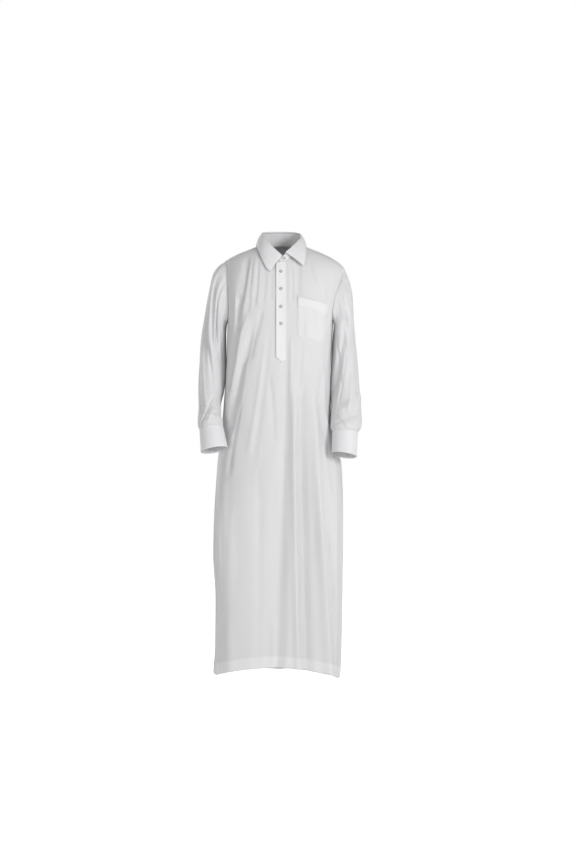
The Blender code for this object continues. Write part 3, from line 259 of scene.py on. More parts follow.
# Sleeve sections from shoulder to cuff: the outer and inner edge, the middle and half
# depth front to back, and how much the front of the section stands above its middle
Section = namedtuple("Section", "along out_x out_z in_x in_z middle half_depth rise")
SLEEVE_PLUS_X = rows_of(Section, (
    (0.00, 0.2180, -0.0770, 0.1770, -0.2480, 0.000, 0.066, 0.000),
    (0.05, 0.2270, -0.0980, 0.1810, -0.2600, 0.000, 0.074, 0.000),
    (0.11, 0.2360, -0.1280, 0.1788, -0.2750, 0.001, 0.077, 0.000),
    (0.18, 0.2435, -0.1730, 0.1758, -0.3000, 0.003, 0.076, 0.000),
    (0.30, 0.2485, -0.2516, 0.1730, -0.3450, 0.006, 0.073, 0.000),
    (0.42, 0.2550, -0.3300, 0.1700, -0.4000, 0.006, 0.070, 0.004),
    (0.53, 0.2610, -0.4036, 0.1682, -0.4500, 0.000, 0.068, 0.012),
    (0.65, 0.2670, -0.4810, 0.1680, -0.5020, -0.018, 0.065, 0.018),
    (0.76, 0.2705, -0.5400, 0.1680, -0.5480, -0.042, 0.062, 0.020),
    (0.86, 0.2720, -0.5880, 0.1670, -0.5880, -0.068, 0.058, 0.018),
    (0.94, 0.2680, -0.6120, 0.1660, -0.6090, -0.086, 0.051, 0.014),
    (1.00, 0.2570, -0.6270, 0.1725, -0.6240, -0.096, 0.040, 0.010),
))
SLEEVE_MINUS_X = rows_of(Section, (
    (0.00, -0.1890, -0.0480, -0.1790, -0.2480, 0.000, 0.066, 0.000),
    (0.05, -0.2120, -0.0640, -0.1845, -0.2600, 0.000, 0.074, 0.000),
    (0.11, -0.2310, -0.0920, -0.1862, -0.2750, 0.001, 0.077, 0.000),
    (0.18, -0.2430, -0.1400, -0.1866, -0.3000, 0.003, 0.076, 0.000),
    (0.30, -0.2575, -0.2150, -0.1862, -0.3450, 0.006, 0.073, 0.000),
    (0.42, -0.2700, -0.2950, -0.1866, -0.3950, 0.006, 0.070, 0.004),
    (0.53, -0.2770, -0.3820, -0.1875, -0.4400, 0.000, 0.068, 0.012),
    (0.65, -0.2800, -0.4700, -0.1930, -0.4900, -0.018, 0.064, 0.018),
    (0.76, -0.2785, -0.5350, -0.2020, -0.5330, -0.042, 0.060, 0.020),
    (0.86, -0.2795, -0.5850, -0.2010, -0.5720, -0.068, 0.056, 0.018),
    (0.94, -0.2780, -0.6050, -0.1940, -0.5920, -0.084, 0.049, 0.014),
    (1.00, -0.2725, -0.6180, -0.1930, -0.6050, -0.093, 0.040, 0.010),
))
CUFF_PLUS_X = rows_of(Section, (
    (0.00, 0.2570, -0.6275, 0.1725, -0.6245, -0.096, 0.040, 0.010),
    (1.00, 0.2530, -0.7080, 0.1685, -0.6960, -0.124, 0.041, 0.010),
))
CUFF_MINUS_X = rows_of(Section, (
    (0.00, -0.2725, -0.6185, -0.1930, -0.6055, -0.093, 0.040, 0.010),
    (1.00, -0.2665, -0.6930, -0.1765, -0.6770, -0.120, 0.041, 0.010),
))
CUFF_OPENING = -70.0
CUFF_LAP = 30.0
CUFF_LIFT_START = 305.0
CUFF_LIFT_REACH = 45.0

# Sleeve folds: around is in degrees, with the front above 0; along runs from 0 to 1
SleeveFold = namedtuple("SleeveFold", "round_top top round_bottom bottom width depth")
SLEEVE_FOLD_OVERRUN = 0.3
SLEEVE_FOLD_FADE = 0.5
PLUS_X_SLEEVE_FOLDS = rows_of(SleeveFold, (
    (70, 0.16, 130, 0.62, 14, -0.0060),
    (40, 0.20, 98, 0.60, 15, 0.0045),
    (112, 0.38, 142, 0.66, 12, -0.0045),
    (60, 0.84, 126, 0.93, 26, -0.0040),
    (20, 0.70, 112, 0.82, 24, 0.0040),
    (-70, 0.10, -120, 0.50, 18, -0.0060),
    (-96, 0.44, -60, 0.80, 18, 0.0060),
    (-130, 0.55, -70, 0.90, 16, -0.0055),
    (86, 0.10, 58, 0.36, 5, -0.0052),
    (96, 0.12, 72, 0.40, 4, 0.0040),
    (52, 0.06, 30, 0.34, 5, -0.0050),
    (60, 0.08, 40, 0.34, 4, 0.0034),
    (126, 0.28, 106, 0.62, 5, -0.0046),
    (84, 0.46, 122, 0.74, 6, -0.0050),
    (92, 0.50, 130, 0.78, 5, 0.0040),
    (58, 0.56, 84, 0.80, 7, 0.0040),
    (30, 0.60, 62, 0.86, 8, -0.0042),
    (96, 0.82, 66, 0.95, 8, -0.0046),
    (116, 0.86, 84, 0.97, 7, 0.0038),
    (10, 0.36, 36, 0.62, 7, -0.0034),
    (-40, 0.14, -76, 0.44, 7, -0.0042),
    (-100, 0.12, -84, 0.40, 6, 0.0040),
    (-30, 0.50, -60, 0.76, 8, -0.0044),
    (-110, 0.66, -90, 0.92, 8, -0.0044),
    (-150, 0.30, -130, 0.60, 7, 0.0040),
))
MINUS_X_SLEEVE_FOLDS = rows_of(SleeveFold, (
    (66, 0.10, 118, 0.44, 13, -0.0060),
    (44, 0.16, 92, 0.50, 13, 0.0045),
    (28, 0.22, 58, 0.50, 15, -0.0045),
    (60, 0.86, 126, 0.90, 24, 0.0040),
    (30, 0.78, 120, 0.82, 22, -0.0040),
    (-66, 0.12, -118, 0.48, 18, -0.0060),
    (-90, 0.46, -58, 0.82, 18, 0.0060),
    (-126, 0.56, -72, 0.92, 16, -0.0055),
    (80, 0.06, 104, 0.34, 5, -0.0070),
    (70, 0.08, 94, 0.38, 4, 0.0056),
    (52, 0.10, 82, 0.38, 5, -0.0060),
    (40, 0.10, 70, 0.40, 4, 0.0044),
    (26, 0.12, 56, 0.40, 5, -0.0046),
    (110, 0.10, 138, 0.40, 5, -0.0050),
    (70, 0.44, 104, 0.66, 6, -0.0044),
    (44, 0.50, 70, 0.76, 7, 0.0040),
    (20, 0.58, 50, 0.84, 8, -0.0040),
    (110, 0.74, 66, 0.90, 7, -0.0048),
    (124, 0.78, 84, 0.94, 6, 0.0044),
    (60, 0.90, 36, 0.98, 8, -0.0040),
    (12, 0.34, 30, 0.60, 7, -0.0036),
    (-38, 0.12, -74, 0.42, 7, -0.0042),
    (-98, 0.14, -82, 0.42, 6, 0.0040),
    (-28, 0.48, -58, 0.78, 8, -0.0044),
    (-108, 0.68, -88, 0.94, 8, -0.0044),
    (-148, 0.32, -128, 0.62, 7, 0.0040),
))

# Fold line of the collar on top of its stand; round runs from the front over the
# wearer's right, the nape and the wearer's left
FoldPoint = namedtuple("FoldPoint", "round x y z")
FOLD_LINE = rows_of(FoldPoint, (
    (0, 0.0030, -0.0940, -0.0390),
    (22, -0.0260, -0.0850, -0.0100),
    (48, -0.0490, -0.0620, 0.0190),
    (78, -0.0620, -0.0230, 0.0395),
    (110, -0.0600, 0.0130, 0.0500),
    (145, -0.0390, 0.0450, 0.0560),
    (180, 0.0010, 0.0570, 0.0580),
    (215, 0.0410, 0.0450, 0.0550),
    (250, 0.0630, 0.0130, 0.0460),
    (282, 0.0660, -0.0230, 0.0310),
    (312, 0.0530, -0.0600, 0.0110),
    (338, 0.0290, -0.0850, -0.0150),
    (360, 0.0030, -0.0940, -0.0390),
))

# Free edge of the collar's leaf, seen from above, and its height over the body
LeafPoint = namedtuple("LeafPoint", "round x y lift")
LEAF_EDGE = rows_of(LeafPoint, (
    (0, -0.0350, -0.1110, 0.0045),
    (10, -0.0460, -0.1065, 0.0050),
    (22, -0.0560, -0.0968, 0.0050),
    (48, -0.0700, -0.0741, 0.0045),
    (78, -0.0815, -0.0250, 0.0035),
    (110, -0.0830, 0.0200, 0.0035),
    (145, -0.0600, 0.0680, 0.0035),
    (180, 0.0010, 0.0850, 0.0035),
    (215, 0.0610, 0.0680, 0.0035),
    (250, 0.0840, 0.0200, 0.0035),
    (282, 0.0840, -0.0270, 0.0035),
    (312, 0.0825, -0.0660, 0.0050),
    (332, 0.0795, -0.0870, 0.0060),
    (350, 0.0745, -0.0993, 0.0060),
))

# How the collar turns over the stand: outward and up from the stand's top
TURN_OVER = (
    (-0.0016, 0.0006), (-0.0013, 0.0026), (0.0003, 0.0041), (0.0027, 0.0043), (0.0054, 0.0026),
)
LEAF_ROWS = 3
LEAF_PUFF = 0.0035
LEAF_PUFF_REACH = 0.9
LEAF_PUFF_LEAN = 0.7
LEAF_LAP_START = 8.0
LEAF_LAP_REACH = 10.0
STAND_UNDER_END = -10
STAND_OVER_END = 370
STAND_LAP_START = 330.0
STAND_LAP_FULL = 350.0
STAND_ROUNDING = 0.22
STAND_ROUNDING_REACH = 22.0
STAND_BOTTOM = 0.03
STAND_TOP = 0.97

# Chest pocket: corners as across and height, seen from the front
POCKET_TOP_LEFT = (0.0568, -0.1756)
POCKET_TOP_RIGHT = (0.1612, -0.2018)
POCKET_BOTTOM_RIGHT = (0.1390, -0.3260)
POCKET_BOTTOM_LEFT = (0.0573, -0.3110)
POCKET_CORNER_CUT = 0.022
POCKET_CUT_ACROSS = 0.5
POCKET_CUT_DOWN = 0.6
POCKET_GAP = 0.0008
POCKET_BAND_EXTRA = 0.0008
POCKET_FOLDS = rows_of(Fold, (
    (0.068, -0.180, 0.082, -0.330, 0.003, 0.0070, -0.0012),
    (0.096, -0.190, 0.130, -0.345, 0.004, 0.0070, -0.0014),
    (0.112, -0.190, 0.142, -0.345, 0.004, 0.0080, 0.0014),
))

# Fineness of the shells
FRONT_UPPER_ROWS = 56
FRONT_WINDOW_ROWS = 34
FRONT_SKIRT_ROWS = 184
FRONT_SIDE_STEPS = 72
FRONT_STRIP_STEPS = 6
FRONT_CROWDING = 1.25
STRIP_TOP_REACH = 1.3
BACK_UPPER_ROWS = 54
BACK_SKIRT_ROWS = 246
BACK_STEPS = 118
BACK_CROWDING = 1.15
YOKE_ROWS = 40
YOKE_ARM_STEPS = 24
YOKE_BACK_STEPS = 96
YOKE_CROWDING = 1.2
SLEEVE_ROUND_STEPS = 132
SLEEVE_LONG_STEPS = 196
SLEEVE_FIRST_ROWS = (0.0, 0.002, 0.005, 0.009)
SLEEVE_EVEN_FROM = 0.014
CUFF_ROUND_STEPS = 140
CUFF_LONG_STEPS = 26
COLLAR_STEPS = 150
TURN_STEPS = 10
LEAF_STEPS = 26
STAND_STEPS = 16
PLACKET_UPPER_ROWS = 56
PLACKET_LOWER_ROWS = 36
PLACKET_STEPS = 16
PLACKET_POINT_ROWS = 6
POCKET_FINE_ROWS = 56
POCKET_FINE_STEPS = 48
BUTTON_FINE_SIDES = 40

# Sewn edges and the hem
SEAM_DIP = 0.00025
SEAM_REACH = 0.0012
SEAM_ALLOWANCE = 0.009
SEAM_FADE = 0.002
RIM_BULGE = 0.35
HEM_WIDTH = 0.038
HEM_FADE = 0.003
HEM_WHITE = 0.55
HEM_LINE_DIP = 0.0006
HEM_LINE_REACH = 0.0030
PUCKER = 0.00035
PUCKER_PITCH = 0.013
PUCKER_REACH = 0.0110
PUCKER_DRIFT = 31.0
PUCKER_SWAY = 2.0
FRONT_PUCKER_SEED = 3.0
BACK_PUCKER_SEED = 7.0
CRUMPLE = 0.0018
YOKE_CRUMPLE = 0.0009
CRUMPLE_SIZE = 0.045
CRUMPLE_STRETCH = 2.6
CRUMPLE_SEED = 3.0
CRUMPLE_FADE = 0.018

# Sewing thread; each ring of a stitch is its part of the length and its swell
THREAD = 0.0005
STITCH_LENGTH = 0.0026
STITCH_PITCH = 0.0034
STITCH_SIDES = 5
STITCH_SINK = 0.1
STITCH_RINGS = ((0.0, 0.25), (0.2, 0.85), (0.5, 1.0), (0.8, 0.85), (1.0, 0.25))
ARMHOLE_STITCH = 0.007
YOKE_STITCH = 0.006
CUFF_STITCH = 0.006
COLLAR_STITCH = 0.005
STAND_STITCH = 0.003
PLACKET_STITCH = 0.0025
PLACKET_BAR = 0.024
PLACKET_LIFT = 0.0024
PLACKET_LIFT_REACH = 0.008
POCKET_STITCH = 0.0022
POCKET_BAND_STITCH = 0.0285
POCKET_BAND = 0.030
POCKET_BAND_FADE = 0.001
POCKET_BAND_WHITE = 0.7
POCKET_WHITE = 0.35
POCKET_CREASE_FADE = 0.03

# How far the stitched lines stop before the ends of their edges
SEAM_ENDS = (0.004, 0.004)
CUFF_ENDS = (0.003, 0.003)
CUFF_SIDE_ENDS = (0.003, 0.005)
COLLAR_ENDS = (0.005, 0.005)
COLLAR_SIDE_ENDS = (0.008, 0.005)
STAND_ENDS = (0.003, 0.003)
PLACKET_SIDE_ENDS = (0.003, 0.002)
PLACKET_ENDS = (0.002, 0.002)
POCKET_ENDS = (0.003, 0.003)
POCKET_BAND_ENDS = (0.002, 0.002)

# Buttons: radius and height of each ring of the profile, from the back to the face
BUTTON_PROFILE = (
    (0.0030, 0.0000), (0.0048, 0.0002), (0.0055, 0.0008), (0.0056, 0.0014), (0.0054, 0.0020),
    (0.0050, 0.0023), (0.0045, 0.0024), (0.0041, 0.0022), (0.0037, 0.0018), (0.0020, 0.0017),
    (0.0006, 0.0017),
)
BUTTON_HOLE = 0.0012
BUTTON_FACE = 0.0018
BUTTON_THREAD = 0.00028
CROSS_STEPS = 6
CROSS_SIDES = 6
CROSS_RISE = 0.0002

# Colours as linear values, and finishes
CLOTH_SINGLE = (0.785, 0.785, 0.793)
CLOTH_DOUBLED = (0.895, 0.895, 0.905)
BAND_WHITE = (0.850, 0.850, 0.860)
THREAD_COLOUR = (0.900, 0.900, 0.900)
PEARL = (0.47, 0.45, 0.41)
CLOTH_ROUGHNESS = 0.88
CLOTH_SHEER = 0.16
CLOTH_FINISH = {"Sheen Weight": 0.12, "Sheen Roughness": 0.5, "Specular IOR Level": 0.25}
THREAD_PITCH = 0.0008
WEAVE_HEIGHT = 0.00004
SLUB_FINE = 1400.0
SLUB_LONG = 45.0
SLUB_TONE = 0.022
SLUB_HEIGHT = 0.00006
SLUB_DETAIL = 2.0
CLOUD_SIZE = 22.0
CLOUD_TONE = 0.020
CLOUD_DETAIL = 3.0
RUMPLE_ACROSS = 34.0
RUMPLE_DOWN = 15.0
RUMPLE_HEIGHT = 0.0010
BAND_RUMPLE_HEIGHT = 0.0003

# Looks of the thread, the buttons and the floor: darker and lighter tone, finish, pattern
THREAD_LOOK = ((0.94, 1.0), {"Roughness": 0.6, "Sheen Weight": 0.2},
               "ShaderNodeTexWave", {"Scale": 900.0, "Distortion": 1.0})
PEARL_LOOK = ((0.80, 1.18), {"Roughness": 0.28, "Coat Weight": 0.4},
              "ShaderNodeTexNoise", {"Scale": 260.0, "Detail": 3.0, "Distortion": 1.5})
FLOOR_LOOK = ((0.99, 1.0), {"Roughness": 0.9, "Emission Color": (1.0, 1.0, 1.0, 1.0)},
              "ShaderNodeTexNoise", {"Scale": 3.0, "Detail": 2.0})

# Studio and camera; each light has its place, the height it aims at, its size and power
AMBIENT = 0.30
LIGHTS = (
    ("key", (3.2, -3.9, 0.5), -0.6, 1.5, 127.0),
    ("top", (0.6, -2.6, 2.9), -0.6, 2.4, 20.0),
    ("fill", (-2.8, -4.2, -0.4), -0.7, 2.2, 50.0),
    ("edge", (4.0, 0.4, -0.4), -0.7, 2.4, 17.0),
    ("back", (-3.0, 3.8, 1.0), -0.7, 2.6, 120.0),
)
FLOOR = -1.537
FLOOR_RADIUS = 9.0
FLOOR_SIDES = 96
FLOOR_COLOUR = (0.93, 0.93, 0.93)
FLOOR_GLOW = 0.74
CAMERA_ACROSS = 0.0238
CAMERA_HEIGHT = -0.6256
CAMERA_DISTANCE = 5.5
VIEW_HEIGHT = 2.9376
SENSOR = 24.0

# Steps for slopes and searches on the surfaces
PROBE = 0.02
PROBE_ANGLE = 0.4
PROBE_ROUND = 1.0
SEARCH_STEPS = 30
SETTLE_STEPS = 5
FIRST_TURN = 60.0
LEAST_SPREAD = 0.01


def mix(start, end, part):
    return start + (end - start) * part


def sin_of(degrees):
    return math.sin(math.radians(degrees))


def cos_of(degrees):
    return math.cos(math.radians(degrees))


def asin_of(value):
    return math.degrees(math.asin(value))


def ease(part):
    part = min(max(part, 0.0), 1.0)
    return part * part * (3.0 - 2.0 * part)


class Curve:
    """A smooth curve through one column of a table, without overshoot."""

    def __init__(self, rows, along, name):
        self.places = [getattr(row, along) for row in rows]
        self.values = [getattr(row, name) for row in rows]
        steps = list(zip(self.places, self.places[1:], self.values, self.values[1:]))
        rises = [(v1 - v0) / (p1 - p0) for p0, p1, v0, v1 in steps]
        inner = [2.0 * a * b / (a + b) if a * b > 0.0 else 0.0 for a, b in zip(rises, rises[1:])]
        self.slopes = [rises[0]] + inner + [rises[-1]]

    def __call__(self, at):
        at = min(max(at, self.places[0]), self.places[-1])
        k = min(max(bisect_right(self.places, at) - 1, 0), len(self.places) - 2)
        span = self.places[k + 1] - self.places[k]
        t = (at - self.places[k]) / span
        start = (1.0 + 2.0 * t) * (1.0 - t) ** 2 * self.values[k]
        end = t * t * (3.0 - 2.0 * t) * self.values[k + 1]
        lean = t * (1.0 - t) ** 2 * self.slopes[k] - t * t * (1.0 - t) * self.slopes[k + 1]
        return start + end + lean * span


def curves(rows, along):
    return {name: Curve(rows, along, name) for name in rows[0]._fields if name != along}


RINGS_UP = tuple(reversed(RINGS))
RING = curves(RINGS_UP, "height")
RIDGE_HEIGHT = Curve(RIDGE, "across", "height")
ARM = curves(ARMHOLE, "round")


# The body's surface

def half_width(sine, turn):
    """Half width of the body at the underarm and over the shoulder."""
    if sine < 0.0:
        return mix(RINGS[0].left, SHOULDER_LEFT_EDGE, sin_of(turn))
    return mix(RINGS[0].right, SHOULDER_RIGHT_EDGE, sin_of(turn))


def hem_height(angle):
    front = max(cos_of(angle), 0.0) ** HEM_LIFT_POWER
    back = max(-cos_of(angle), 0.0)
    side = mix(HEM_LEFT, HEM_RIGHT, (sin_of(angle) + 1.0) / 2.0)
    return side + HEM_LIFT_FRONT * front - HEM_DROP_BACK * back


def body_base(angle, way):
    """Smooth body: way 0 is the shoulder ridge, 1 the underarm's height, 2 the hem."""
    sine = sin_of(angle)
    front = cos_of(angle) >= 0.0
    if way < 1.0:
        turn = 90.0 * (1.0 - way)
        x = sine * half_width(sine, turn)
        square = RINGS[0].square
        depth = RINGS[0].front if front else RINGS[0].back
        power = 2.0 / (FRONT_TURN_POWER if front else BACK_TURN_POWER)
        level = (1.0 - min(abs(sine), 1.0) ** square) ** (1.0 / square)
        y = depth * level * max(cos_of(turn), 0.0) ** power
        lift = sin_of(turn) ** power
        z = UNDERARM + (RIDGE_HEIGHT(abs(x)) - UNDERARM) * lift
        if not front:
            hump = math.exp(-(x / NAPE_HALF) ** 2)
            z += NAPE_RISE * hump * sin_of(2.0 * turn) ** 2
        return Vector((x, -y if front else y, z))
    z = UNDERARM + (hem_height(angle) - UNDERARM) * (way - 1.0)
    x = sine * (RING["left"](z) if sine < 0.0 else RING["right"](z))
    square = RING["square"](z)
    level = (1.0 - min(abs(sine), 1.0) ** square) ** (1.0 / square)
    y = level * (-RING["front"](z) if front else RING["back"](z))
    return Vector((x, y, z))


def fold_depth(folds, across, height):
    total = 0.0
    for fold in folds:
        part = (height - fold.height_top) / (fold.height_bottom - fold.height_top)
        if 0.0 < part < 1.0:
            middle = mix(fold.across_top, fold.across_bottom, part)
            middle += fold.bow * 4.0 * part * (1.0 - part)
            off = (across - middle) / (fold.width * mix(FOLD_WIDTH_TOP, FOLD_WIDTH_BOTTOM, part))
            if abs(off) < FOLD_REACH:
                fade = ease(part / FOLD_FADE_IN) * ease((1.0 - part) / FOLD_FADE_OUT)
                total += fold.depth * fade * math.exp(-off * off)
    return total


def body(angle, way):
    """The body with its folds."""
    place = body_base(angle, way)
    sine = sin_of(angle)
    cosine = cos_of(angle)
    facing = ease((abs(cosine) - SIDE_COSINE) / SIDE_BLEND)
    depth = facing * fold_depth(FRONT_FOLDS if cosine > 0.0 else BACK_FOLDS, place.x, place.z)
    if facing < 1.0:
        side_folds = MINUS_X_FOLDS if sine < 0.0 else PLUS_X_FOLDS
        depth += (1.0 - facing) * fold_depth(side_folds, place.y, place.z)
    turn = math.radians(90.0 * max(1.0 - way, 0.0))
    out = Vector((sine * math.cos(turn), -cosine * math.cos(turn), math.sin(turn)))
    return place + out.normalized() * depth


def body_out(angle, way):
    """Outward direction of the folded body."""
    lower = min(way + PROBE, 2.0)
    if way < 1.0 - PROBE / 2:
        upper = max(way - PROBE, 0.0)
    else:
        upper = way - PROBE / 4
    around = body(angle + PROBE_ANGLE, way) - body(angle - PROBE_ANGLE, way)
    down = body(angle, lower) - body(angle, upper)
    return down.cross(around).normalized()


def over_shoulder(reach, spread):
    """Angle and way of a place by its part of the half width and its degrees off the ridge."""
    angle = asin_of(min(max(reach, -1.0), 1.0))
    if spread > 0.0:
        angle = 180.0 - angle
    return angle, abs(spread) / 90.0


def on_front(x, z):
    """Angle and way of the front's place at x and z."""
    if z > UNDERARM:
        rise = (z - UNDERARM) / (RIDGE_HEIGHT(abs(x)) - UNDERARM)
        turn = asin_of(min(rise, 1.0) ** (FRONT_TURN_POWER / 2.0))
        angle = asin_of(x / half_width(x, turn))
        return angle, 1.0 - turn / 90.0
    half = RING["left"](z) if x < 0.0 else RING["right"](z)
    angle = asin_of(x / half)
    return angle, 1.0 + (z - UNDERARM) / (hem_height(angle) - UNDERARM)


def armhole_place(side, round_angle):
    """Reach and spread of the armhole seam; the front has a round angle above 0."""
    turned = abs(round_angle)
    if round_angle < 0.0:
        reach = ARM["back"](turned)
    elif side < 0:
        reach = ARM["front_left"](turned)
    else:
        reach = ARM["front_right"](turned)
    spread = 90.0 - ARM["turn"](turned)
    return side * reach, -spread if round_angle >= 0.0 else spread


def seen_from_above(x, y):
    """Reach and spread of the place of the upper body at x and y."""
    ring = RINGS[0]
    depth, power = (ring.front, FRONT_TURN_POWER) if y < 0.0 else (ring.back, BACK_TURN_POWER)
    turn = FIRST_TURN
    for _ in range(SETTLE_STEPS):
        reach = x / half_width(x, turn)
        level = (1.0 - abs(reach) ** ring.square) ** (1.0 / ring.square)
        turn = math.degrees(math.acos(min((abs(y) / (depth * level)) ** (power / 2.0), 1.0)))
    return reach, (turn - 90.0) if y < 0.0 else (90.0 - turn)


def neck_place(round_angle):
    """Reach and spread of the neck seam; 0 is the front, 90 the wearer's left."""
    cosine = cos_of(round_angle)
    y = NECK_MIDDLE - (NECK_FRONT if cosine > 0.0 else NECK_BACK) * cosine
    return seen_from_above(NECK_HALF * sin_of(round_angle), y)


# The sleeves' surface

SLEEVES = {-1: curves(SLEEVE_MINUS_X, "along"), 1: curves(SLEEVE_PLUS_X, "along")}
CUFFS = {-1: curves(CUFF_MINUS_X, "along"), 1: curves(CUFF_PLUS_X, "along")}
SLEEVE_FOLDS = {-1: MINUS_X_SLEEVE_FOLDS, 1: PLUS_X_SLEEVE_FOLDS}
ARMHOLE_BLEND = 0.16


def tube_point(table, round_angle, along):
    cosine = cos_of(round_angle)
    sine = sin_of(round_angle)
    middle_x = (table["out_x"](along) + table["in_x"](along)) / 2.0
    middle_z = (table["out_z"](along) + table["in_z"](along)) / 2.0
    x = middle_x + cosine * (table["out_x"](along) - middle_x)
    z = middle_z + cosine * (table["out_z"](along) - middle_z) + sine * table["rise"](along)
    return Vector((x, table["middle"](along) - sine * table["half_depth"](along), z))


def armhole_point(side, round_angle):
    return body(*over_shoulder(*armhole_place(side, round_angle)))


def sleeve_base(side, round_angle, along):
    table = SLEEVES[side]
    place = tube_point(table, round_angle, along)
    if along < ARMHOLE_BLEND:
        step = armhole_point(side, round_angle) - tube_point(table, round_angle, 0.0)
        place += step * (1.0 - ease(along / ARMHOLE_BLEND))
    return place


def sleeve(side, round_angle, along):
    place = sleeve_base(side, round_angle, along)
    depth = 0.0
    for fold in SLEEVE_FOLDS[side]:
        part = (along - fold.top) / (fold.bottom - fold.top)
        before, after = part + SLEEVE_FOLD_OVERRUN, 1.0 + SLEEVE_FOLD_OVERRUN - part
        if before > 0.0 and after > 0.0:
            middle = mix(fold.round_top, fold.round_bottom, part)
            off = (round_angle - middle + 180.0) % 360.0 - 180.0
            fade = ease(before / SLEEVE_FOLD_FADE) * ease(after / SLEEVE_FOLD_FADE)
            depth += fold.depth * fade * math.exp(-(off / fold.width) ** 2)
    table = SLEEVES[side]
    middle = (tube_point(table, 0.0, along) + tube_point(table, 180.0, along)) / 2.0
    return place + (place - middle).normalized() * depth


def spread_at_height(angle_reach, height):
    """Degrees off the ridge at which the back reaches a height."""
    low, high = 0.0, 90.0
    for _ in range(SEARCH_STEPS):
        middle = (low + high) / 2.0
        if body_base(*over_shoulder(angle_reach, max(middle, LEAST_SPREAD))).z > height:
            low = middle
        else:
            high = middle
    return low


def crowded(part):
    """Part of the way from the front's middle to its side, with closer steps at the side."""
    return 1.0 - (1.0 - part) ** SIDE_CROWDING


def back_angle(part, start, end):
    off = abs(part * 2.0 - 1.0)
    share = math.copysign(crowded(off), part * 2.0 - 1.0)
    return mix(start, end, (share + 1.0) / 2.0)


def cuff_place(side, round_angle, along):
    """Place on the cuff's outer side; the band winds down from its opening."""
    table = CUFFS[side]
    after = tube_point(table, round_angle + PROBE_ROUND, along)
    ahead = after - tube_point(table, round_angle - PROBE_ROUND, along)
    down = tube_point(table, round_angle, 1.0) - tube_point(table, round_angle, 0.0)
    out = (ahead.cross(down) * side).normalized()
    lap = ease((CUFF_OPENING - round_angle - CUFF_LIFT_START) / CUFF_LIFT_REACH)
    return tube_point(table, round_angle, along) + out * lap * (BAND + LAID_GAP)


FOLD = curves(FOLD_LINE, "round")
EDGE = curves(LEAF_EDGE, "round")


def fold_point(round_angle):
    at = round_angle % 360.0
    return Vector((FOLD["x"](at), FOLD["y"](at), FOLD["z"](at)))


def neck_out(place):
    return Vector((place.x, place.y - NECK_MIDDLE, 0.0)).normalized()


def stand_point(round_angle, part):
    """The stand's outer side; part 0 is the neck seam and 1 the fold line."""
    neck = body(*over_shoulder(*neck_place(-round_angle)))
    place = neck.lerp(fold_point(round_angle), part)
    lap = ease((round_angle - STAND_LAP_START) / (STAND_LAP_FULL - STAND_LAP_START))
    return place + neck_out(place) * lap * (BAND + LAID_GAP)


@lru_cache(maxsize=None)
def leaf_section(round_angle):
    """One section of the collar's leaf, from the stand's top over to its free edge."""
    top = stand_point(round_angle, 1.0)
    out = neck_out(top)
    under_lap = (BAND + LAID_GAP) * (1.0 - ease((round_angle - LEAF_LAP_START) / LEAF_LAP_REACH))
    section = []
    for outward, up in TURN_OVER:
        reach = outward + (under_lap if outward > 0.0 else 0.0)
        section.append(top + out * reach + Vector((0.0, 0.0, up)))
    place = over_shoulder(*seen_from_above(EDGE["x"](round_angle), EDGE["y"](round_angle)))
    edge = body(*place) + body_out(*place) * (EDGE["lift"](round_angle) + BAND)
    shoulder = section[-1]
    for k in range(1, LEAF_ROWS + 1):
        part = k / LEAF_ROWS
        puff = LEAF_PUFF * math.sin(math.pi * part * LEAF_PUFF_REACH)
        lean = (out + Vector((0.0, 0.0, 1.0))) * LEAF_PUFF_LEAN
        section.append(shoulder.lerp(edge, part) + lean * puff)
    return section


def pocket_place(across, down):
    """X and Z of a place of the pocket; its lower corners are cut."""
    off = abs(across * 2.0 - 1.0) - POCKET_CUT_ACROSS
    cut = POCKET_CORNER_CUT * max(off, 0.0) / (1.0 - POCKET_CUT_ACROSS)
    down = down * (1.0 - cut * ease((down - POCKET_CUT_DOWN) / (1.0 - POCKET_CUT_DOWN)))
    top = [mix(a, b, across) for a, b in zip(POCKET_TOP_LEFT, POCKET_TOP_RIGHT)]
    bottom = [mix(a, b, across) for a, b in zip(POCKET_BOTTOM_LEFT, POCKET_BOTTOM_RIGHT)]
    return [mix(a, b, down) for a, b in zip(top, bottom)]


# Fine grids of points

def grid(rows, columns, place):
    return np.array([[place(row, column) for column in columns] for row in rows], dtype=float)


def steps(count, start=0.0, end=1.0):
    return [mix(start, end, k / count) for k in range(count + 1)]


def crowded_ends(count, start, end, power):
    """Steps that are closer together at both ends, where the seams are."""
    places = []
    for off in steps(count, -1.0, 1.0):
        share = math.copysign(1.0 - (1.0 - abs(off)) ** power, off)
        places.append(mix(start, end, 0.5 + 0.5 * share))
    return places


def unit(vectors):
    return vectors / np.maximum(np.linalg.norm(vectors, axis=-1, keepdims=True), 1e-12)


def outward(points, ring=False):
    """Outward directions of a grid whose rows go down and whose columns go to +X in front."""
    down = np.gradient(points, axis=0)
    if ring:
        around = np.roll(points, -1, axis=1) - np.roll(points, 1, axis=1)
    else:
        around = np.gradient(points, axis=1)
    return unit(np.cross(down, around))


def raised(points, rise, ring=False):
    """A grid moved outward by a distance at each place."""
    return points + outward(points, ring) * rise[..., None]


def lengths(points, axis):
    """Distance along the rows or the columns of a grid from its first line."""
    pieces = np.linalg.norm(np.diff(points, axis=axis), axis=2)
    first = np.zeros_like(np.take(pieces, [0], axis=axis))
    return np.concatenate([first, np.cumsum(pieces, axis=axis)], axis=axis)


def from_edge(points, edge):
    """Distance of each point from one edge of its grid, along the grid's lines."""
    axis = 0 if edge in ("top", "bottom") else 1
    run = lengths(points, axis)
    if edge in ("top", "left"):
        return run
    return np.take(run, [-1], axis=axis) - run


